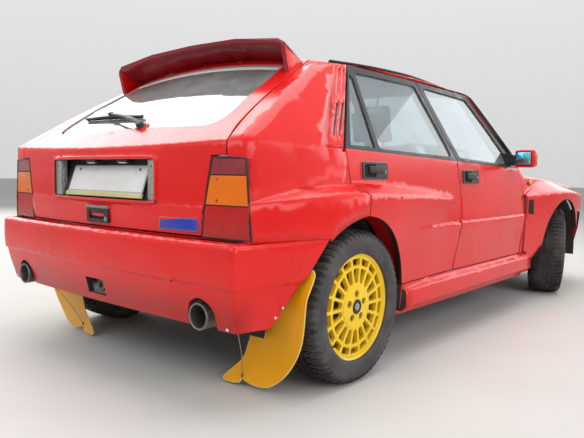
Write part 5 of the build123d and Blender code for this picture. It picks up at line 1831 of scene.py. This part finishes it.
def makeDashboard():
    build = Build()
    finishCopy("dashboard", cadCopy("dashboard"), ["cabin"])
    back = (0, -1, 0)
    hood = tapered(0.165, 0.155, -0.055, 0.05, 0.022)
    recess = roundedBox(0.28, 0.078, 0.016)
    build.add(holedPlate(hood, [recess], -0.1, 0.012, 0.004), "cabin", facingTail(-0.37, 0.326, 0.85))
    build.add(slabPart(recess, -0.03, -0.018), "gloss", facingTail(-0.37, 0.326, 0.85))
    for aside, radius in ((-0.082, 0.036), (0, 0.036), (0.082, 0.036)):
        dial(build, facingTail(-0.37 + aside, 0.343, 0.85), radius)
    for x in (-0.61, -0.085, 0.085, 0.61):
        place = facingTail(x, 0.331, 0.776)
        vent = holedPlate(roundedBox(0.1, 0.056, 0.006), [roundedBox(0.088, 0.044, 0.004)], -0.004, 0.006,
                          0.001)
        build.add(vent, "gloss", place)
        slat = slabPart(roundedBox(0.09, 0.0022, 0.001), -0.003, 0.004)
        build.row(slat, 5, (0, 0.0085, 0), "trim", place @ shift(0, -0.017))
    console = facingTail(0, 0.38, 0.52)
    build.plate((0.19, 0.37, 0.014), (-0.08, 0.02, 0.008), "cabin", console)
    build.plate((0.16, 0.05, 0.004), (0.016, 0.024, 0.002), "gloss", console @ shift(0, 0.105))
    button = slabPart(roundedBox(0.018, 0.014, 0.002), 0, 0.006, 0.002)
    build.row(button, 6, (0.025, 0, 0), "greyTrim", console @ shift(-0.0625, 0.045, 0.019))
    for x in (-0.06, 0, 0.06):
        knob = console @ shift(x, -0.015, 0.018)
        build.disc(0.015, 24, (0, 0.016, 0.004), "gloss", knob)
    lid = roundedBox(0.33, 0.088, 0.008)
    place = facingTail(0.37, 0.3302, 0.775)
    build.plate((0.062, 0.016, 0.004), (-0.002, 0.007, 0.002), "gloss", place @ shift(0, 0.03))
    seam = [place @ Vector((a, b, 0)) for a, b in lid]
    build.add(stripPart(seam, back, ribProfile(0.004, 0.002), True), "gloss")
    # Gear lever, handbrake and pedals
    gaiter = [(-0.004, 0.046), (0.01, 0.042), (0.026, 0.03), (0.046, 0.02), (0.062, 0.011), (0.064, 0.008)]
    build.add(lathePart(gaiter, 28, False), "hose", shift(0, 0.12, 0.33) @ spun(-pi / 2, "Y"))
    build.add(tubePart([(0, 0.12, 0.34), (0, 0.105, 0.42), (0, 0.085, 0.5)], 0.006, 10), "steel")
    knob = [(-0.026, 0.008), (-0.018, 0.016), (0, 0.023), (0.014, 0.019), (0.022, 0.008)]
    upright = frameAt((0, 0.08, 0.518), (0, -0.24, 0.97), (0, 1, 0))
    build.add(lathePart(knob, 24, False), "gloss", upright @ spun(-pi / 2, "Y"))
    handbrake = [(0.04, -0.235, 0.326), (0.04, -0.15, 0.352), (0.04, -0.02, 0.402)]
    build.add(tubePart(handbrake, [0.01, 0.009, 0.008], 12, 1.3), "steel")
    build.add(tubePart([(0.04, -0.085, 0.377), (0.04, 0.02, 0.418)], 0.014, 14), "cabin")
    for x in (-0.29, -0.375, -0.46):
        build.add(tubePart([(x, 0.47, 0.612), (x, 0.468, 0.48), (x, 0.44, 0.33)], 0.007, 8), "steel")
        pedal = frameAt((x, 0.432, 0.318), (0, -0.94, 0.34))
        build.plate((0.056, 0.066, 0.008), (-0.003, 0.01, 0.003), "hose", pedal)
    # Mirror inside the screen
    glass = frameAt((0, 0.06, 1.205), (0, -0.97, -0.22))
    build.add(slabPart(tapered(0.118, 0.104, -0.024, 0.03, 0.016), -0.016, 0.01, 0.008), "gloss", glass)
    build.add(slabPart(tapered(0.11, 0.097, -0.019, 0.025, 0.014), 0.008, 0.0112, 0.001), "mirror", glass)
    build.add(tubePart([(0, 0.07, 1.212), (0, 0.098, 1.25), (0, 0.102, 1.312)], 0.006, 8), "gloss")
    build.finish("cabin_fittings")


def makeSteeringWheel():
    row = jointNamed["steering_wheel_turn"]
    out = Vector(row["axis"]).normalized()
    out = out if out.y > 0 else -out                # away from the seats
    place = frameAt(row["pos_m"], out)
    lay = place @ spun(-pi / 2, "Y")
    build = Build()
    rim = [(0.0145 * sin(2 * pi * k / 14), 0.178 + 0.0135 * cos(2 * pi * k / 14)) for k in range(14)]
    build.add(lathePart(rim, 96), "cabin", lay)
    build.add(lathePart([(0.0, 0.028), (-0.016, 0.034), (-0.022, 0.046), (-0.018, 0.056), (0.004, 0.06),
                         (0.018, 0.052), (0.045, 0.04), (0.046, 0.02)], 40, False), "cabin", lay)
    for angle in (0, pi, -pi / 2):
        spoke = roundCorners([(0.045, -0.022), (0.168, -0.014), (0.168, 0.014), (0.045, 0.022)], 0.006)
        holes = [circle(radius, 20, (at, 0))
                 for at, radius in ((0.08, 0.0085), (0.107, 0.0075), (0.132, 0.0065))]
        build.add(holedPlate(spoke, holes, 0.006, 0.012, 0.001), "silver", place @ spun(angle, "Z"))
    build.finish("steering_wheel_shaped", bodyOf["steering_wheel"], "black_trim", ["steering_wheel"])


def makeDoorCards():
    for name, hand in sides.items():
        for end, low, high in (("front", -0.36, 0.3), ("rear", -0.94, -0.56)):
            node = f"{name}_{end}_door"
            tree = treeOf([node])
            build = Build()
            width, middle = high - low, (low + high) / 2

            def inward(y, z):      # own axes on the door's inner face, at one height in its middle
                spot = firstHit(tree, (hand * 0.3, middle, z), (hand, 0, 0))[0]
                return frameAt((spot.x, y, z), (-hand, 0, 0))

            build.plate((width * 0.55, 0.05, 0.02), (-0.004, 0.048, 0.016), "cabin", inward(middle, 0.64))
            build.plate((width * 0.7, 0.11, 0.018), (-0.004, 0.02, 0.01), "carpet", inward(middle, 0.455))
            pull = inward(middle + (0.1 if end == "front" else 0.06), 0.745)
            build.plate((0.085, 0.036, 0.01), (-0.004, 0.012, 0.005), "gloss", pull)
            build.plate((0.05, 0.012, 0.004), (0.008, 0.017, 0.003), "chrome", pull)
            build.finish(f"{name}_{end}_door_card", node)


def makeHubs():
    # Brake discs and calipers seen through the wheels, and worked finishes for the rest below
    def hubFinish(side, end):
        toHub = wheelPlace(side, end).inverted()

        def pick(face):
            place = toHub @ face.calc_center_median()
            radius = hypot(place.y, place.z)
            if abs(place.x) < 0.035 and radius < 0.17:
                if place.z > 0.094 and abs(place.y) < 0.082 and not (radius < 0.1425 and face.normal.z > 0.5):
                    return "calliper"
                if radius > 0.056:
                    return "disc"
            return "steel"
        return pick

    for side in sides:
        node = f"{side}_knuckle"
        finishCopy(node, cadCopy(node), ["steel", "disc", "calliper"], hubFinish(side, "front"))
    right, left = hubFinish("right", "rear"), hubFinish("left", "rear")
    finishCopy("rear_suspension", cadCopy("rear_suspension"), ["steel", "disc", "calliper"],
               lambda face: (right if face.calc_center_median().x > 0 else left)(face))
    plain = {
        "front_suspension": "steel", "drive_line": "steel", "fuel_tank": "under", "engine": "alloy",
        "radiator": "trim", "parcel_shelf": "carpet", "tow_eyes": "steel",
    }
    for node, material in plain.items():
        finishCopy(node, cadCopy(node), [material])
    build = Build()
    fin = slabPart(roundedBox(0.0016, 0.3, 0.0006), 0, 0.006)
    build.row(fin, 60, (0.0105, 0, 0), "alloy", facingNose(0.31, 1.755, 0.505))
    build.finish("radiator_fins", "body", "dark_tank")


makeSeats()
makeDashboard()
makeSteeringWheel()
makeDoorCards()
makeHubs()
print("cabin and hubs ready")


# Camera, light and floor

view = {
    "place": (2.0885, -3.188, 0.7926),
    "heading": 40.317,
    "pitch": -4.226,
    "roll": 0.897,
    "lens": 36.61,
}


def placeCamera():
    heading, pitch, roll = (radians(view[key]) for key in ("heading", "pitch", "roll"))
    forward = Vector((-sin(heading) * cos(pitch), cos(heading) * cos(pitch), sin(pitch)))
    right = Vector((cos(heading), sin(heading), 0))
    upward = right.cross(forward)
    turnedRight = right * cos(roll) + upward * sin(roll)
    turnedUp = upward * cos(roll) - right * sin(roll)
    lens = bpy.data.cameras.new("photoCamera")
    lens.sensor_width = 36
    lens.lens = view["lens"]
    lens.clip_end = 200
    camera = bpy.data.objects.new("photoCamera", lens)
    spin = Matrix((turnedRight, turnedUp, -forward)).transposed().to_4x4()
    camera.matrix_world = Matrix.Translation(view["place"]) @ spin
    bpy.context.scene.collection.objects.link(camera)
    bpy.context.scene.camera = camera


light = {
    "worldStrength": 0.5,      # for the light that falls on the object
    "horizon": 0.66,            # what eye, glass and gloss see low down
    "zenith": 1.0,
    "skySize": 6.5,
    "skyPower": 300,
    "skyPlace": (0.8, 0.3, 6.5),
    "panels": (      # name, place, aim, size, power
        ("sidePanel", (6.5, -2.0, 3.4), (0.4, -0.6, 0.5), (6, 3), 190),
        ("tailPanel", (-1.0, -7.0, 5.0), (0, -1.5, 0.6), (7, 3), 170),
        ("leftPanel", (-8.0, 1.5, 6.0), (0, -0.8, 0.8), (9, 7), 640),
    ),
    # Seen in gloss and glass only: the bright sky low down ahead of the car
    "ahead": ((2.5, 9.0, 3.9), (1.0, 0, 1.2), (13, 4.4), 300),
    "floorColour": (0.6, 0.59, 0.57),
    "floorPatch": (0.66, 0.65, 0.63),
}


def addArea(name, place, target, size, power):
    lamp = bpy.data.lights.new(name, "AREA")
    lamp.shape = "RECTANGLE"
    lamp.size, lamp.size_y = size
    lamp.energy = power
    holder = bpy.data.objects.new(name, lamp)
    holder.location = place
    holder.rotation_euler = (Vector(target) - Vector(place)).to_track_quat("-Z", "Y").to_euler()
    bpy.context.scene.collection.objects.link(holder)
    return holder


def lightScene():
    world = bpy.data.worlds.new("paleWorld")
    bpy.context.scene.world = world
    look = Look(world, "Background", "Generated")
    ray = look.add("LightPath").outputs
    seen = look.math("MAXIMUM", ray["Is Camera Ray"], ray["Is Glossy Ray"])
    seen = look.math("MAXIMUM", seen, ray["Is Transmission Ray"])
    sky = look.ramp(look.axis("Z"), (0.0, light["horizon"]), (0.75, light["zenith"]))
    look.set("Color", look.mix(seen, grey(light["worldStrength"]), sky))
    look.set("Strength", 1)
    ahead = addArea("aheadPanel", *light["ahead"])
    ahead.visible_camera = ahead.visible_diffuse = ahead.visible_transmission = False
    size = light["skySize"]
    addArea("skyPanel", light["skyPlace"], (0.3, -0.3, 0), (size, size), light["skyPower"])
    for row in light["panels"]:
        addArea(*row)


def layFloor():
    shape = bmesh.new()
    bmesh.ops.create_grid(shape, x_segments=1, y_segments=1, size=60)
    mesh = bpy.data.meshes.new("floor")
    shape.to_mesh(mesh)
    shape.free()
    floor = bpy.data.objects.new("floor", mesh)
    bpy.context.scene.collection.objects.link(floor)
    look = startLook("paleFloor", 0.9, specular=0.1)
    look.set("Base Color", look.mix(look.noise(3, 4), light["floorColour"], light["floorPatch"]))
    mesh.materials.append(look.owner)


placeCamera()
lightScene()
layFloor()
bpy.context.scene.view_settings.view_transform = "Standard"
print("camera, light and floor")
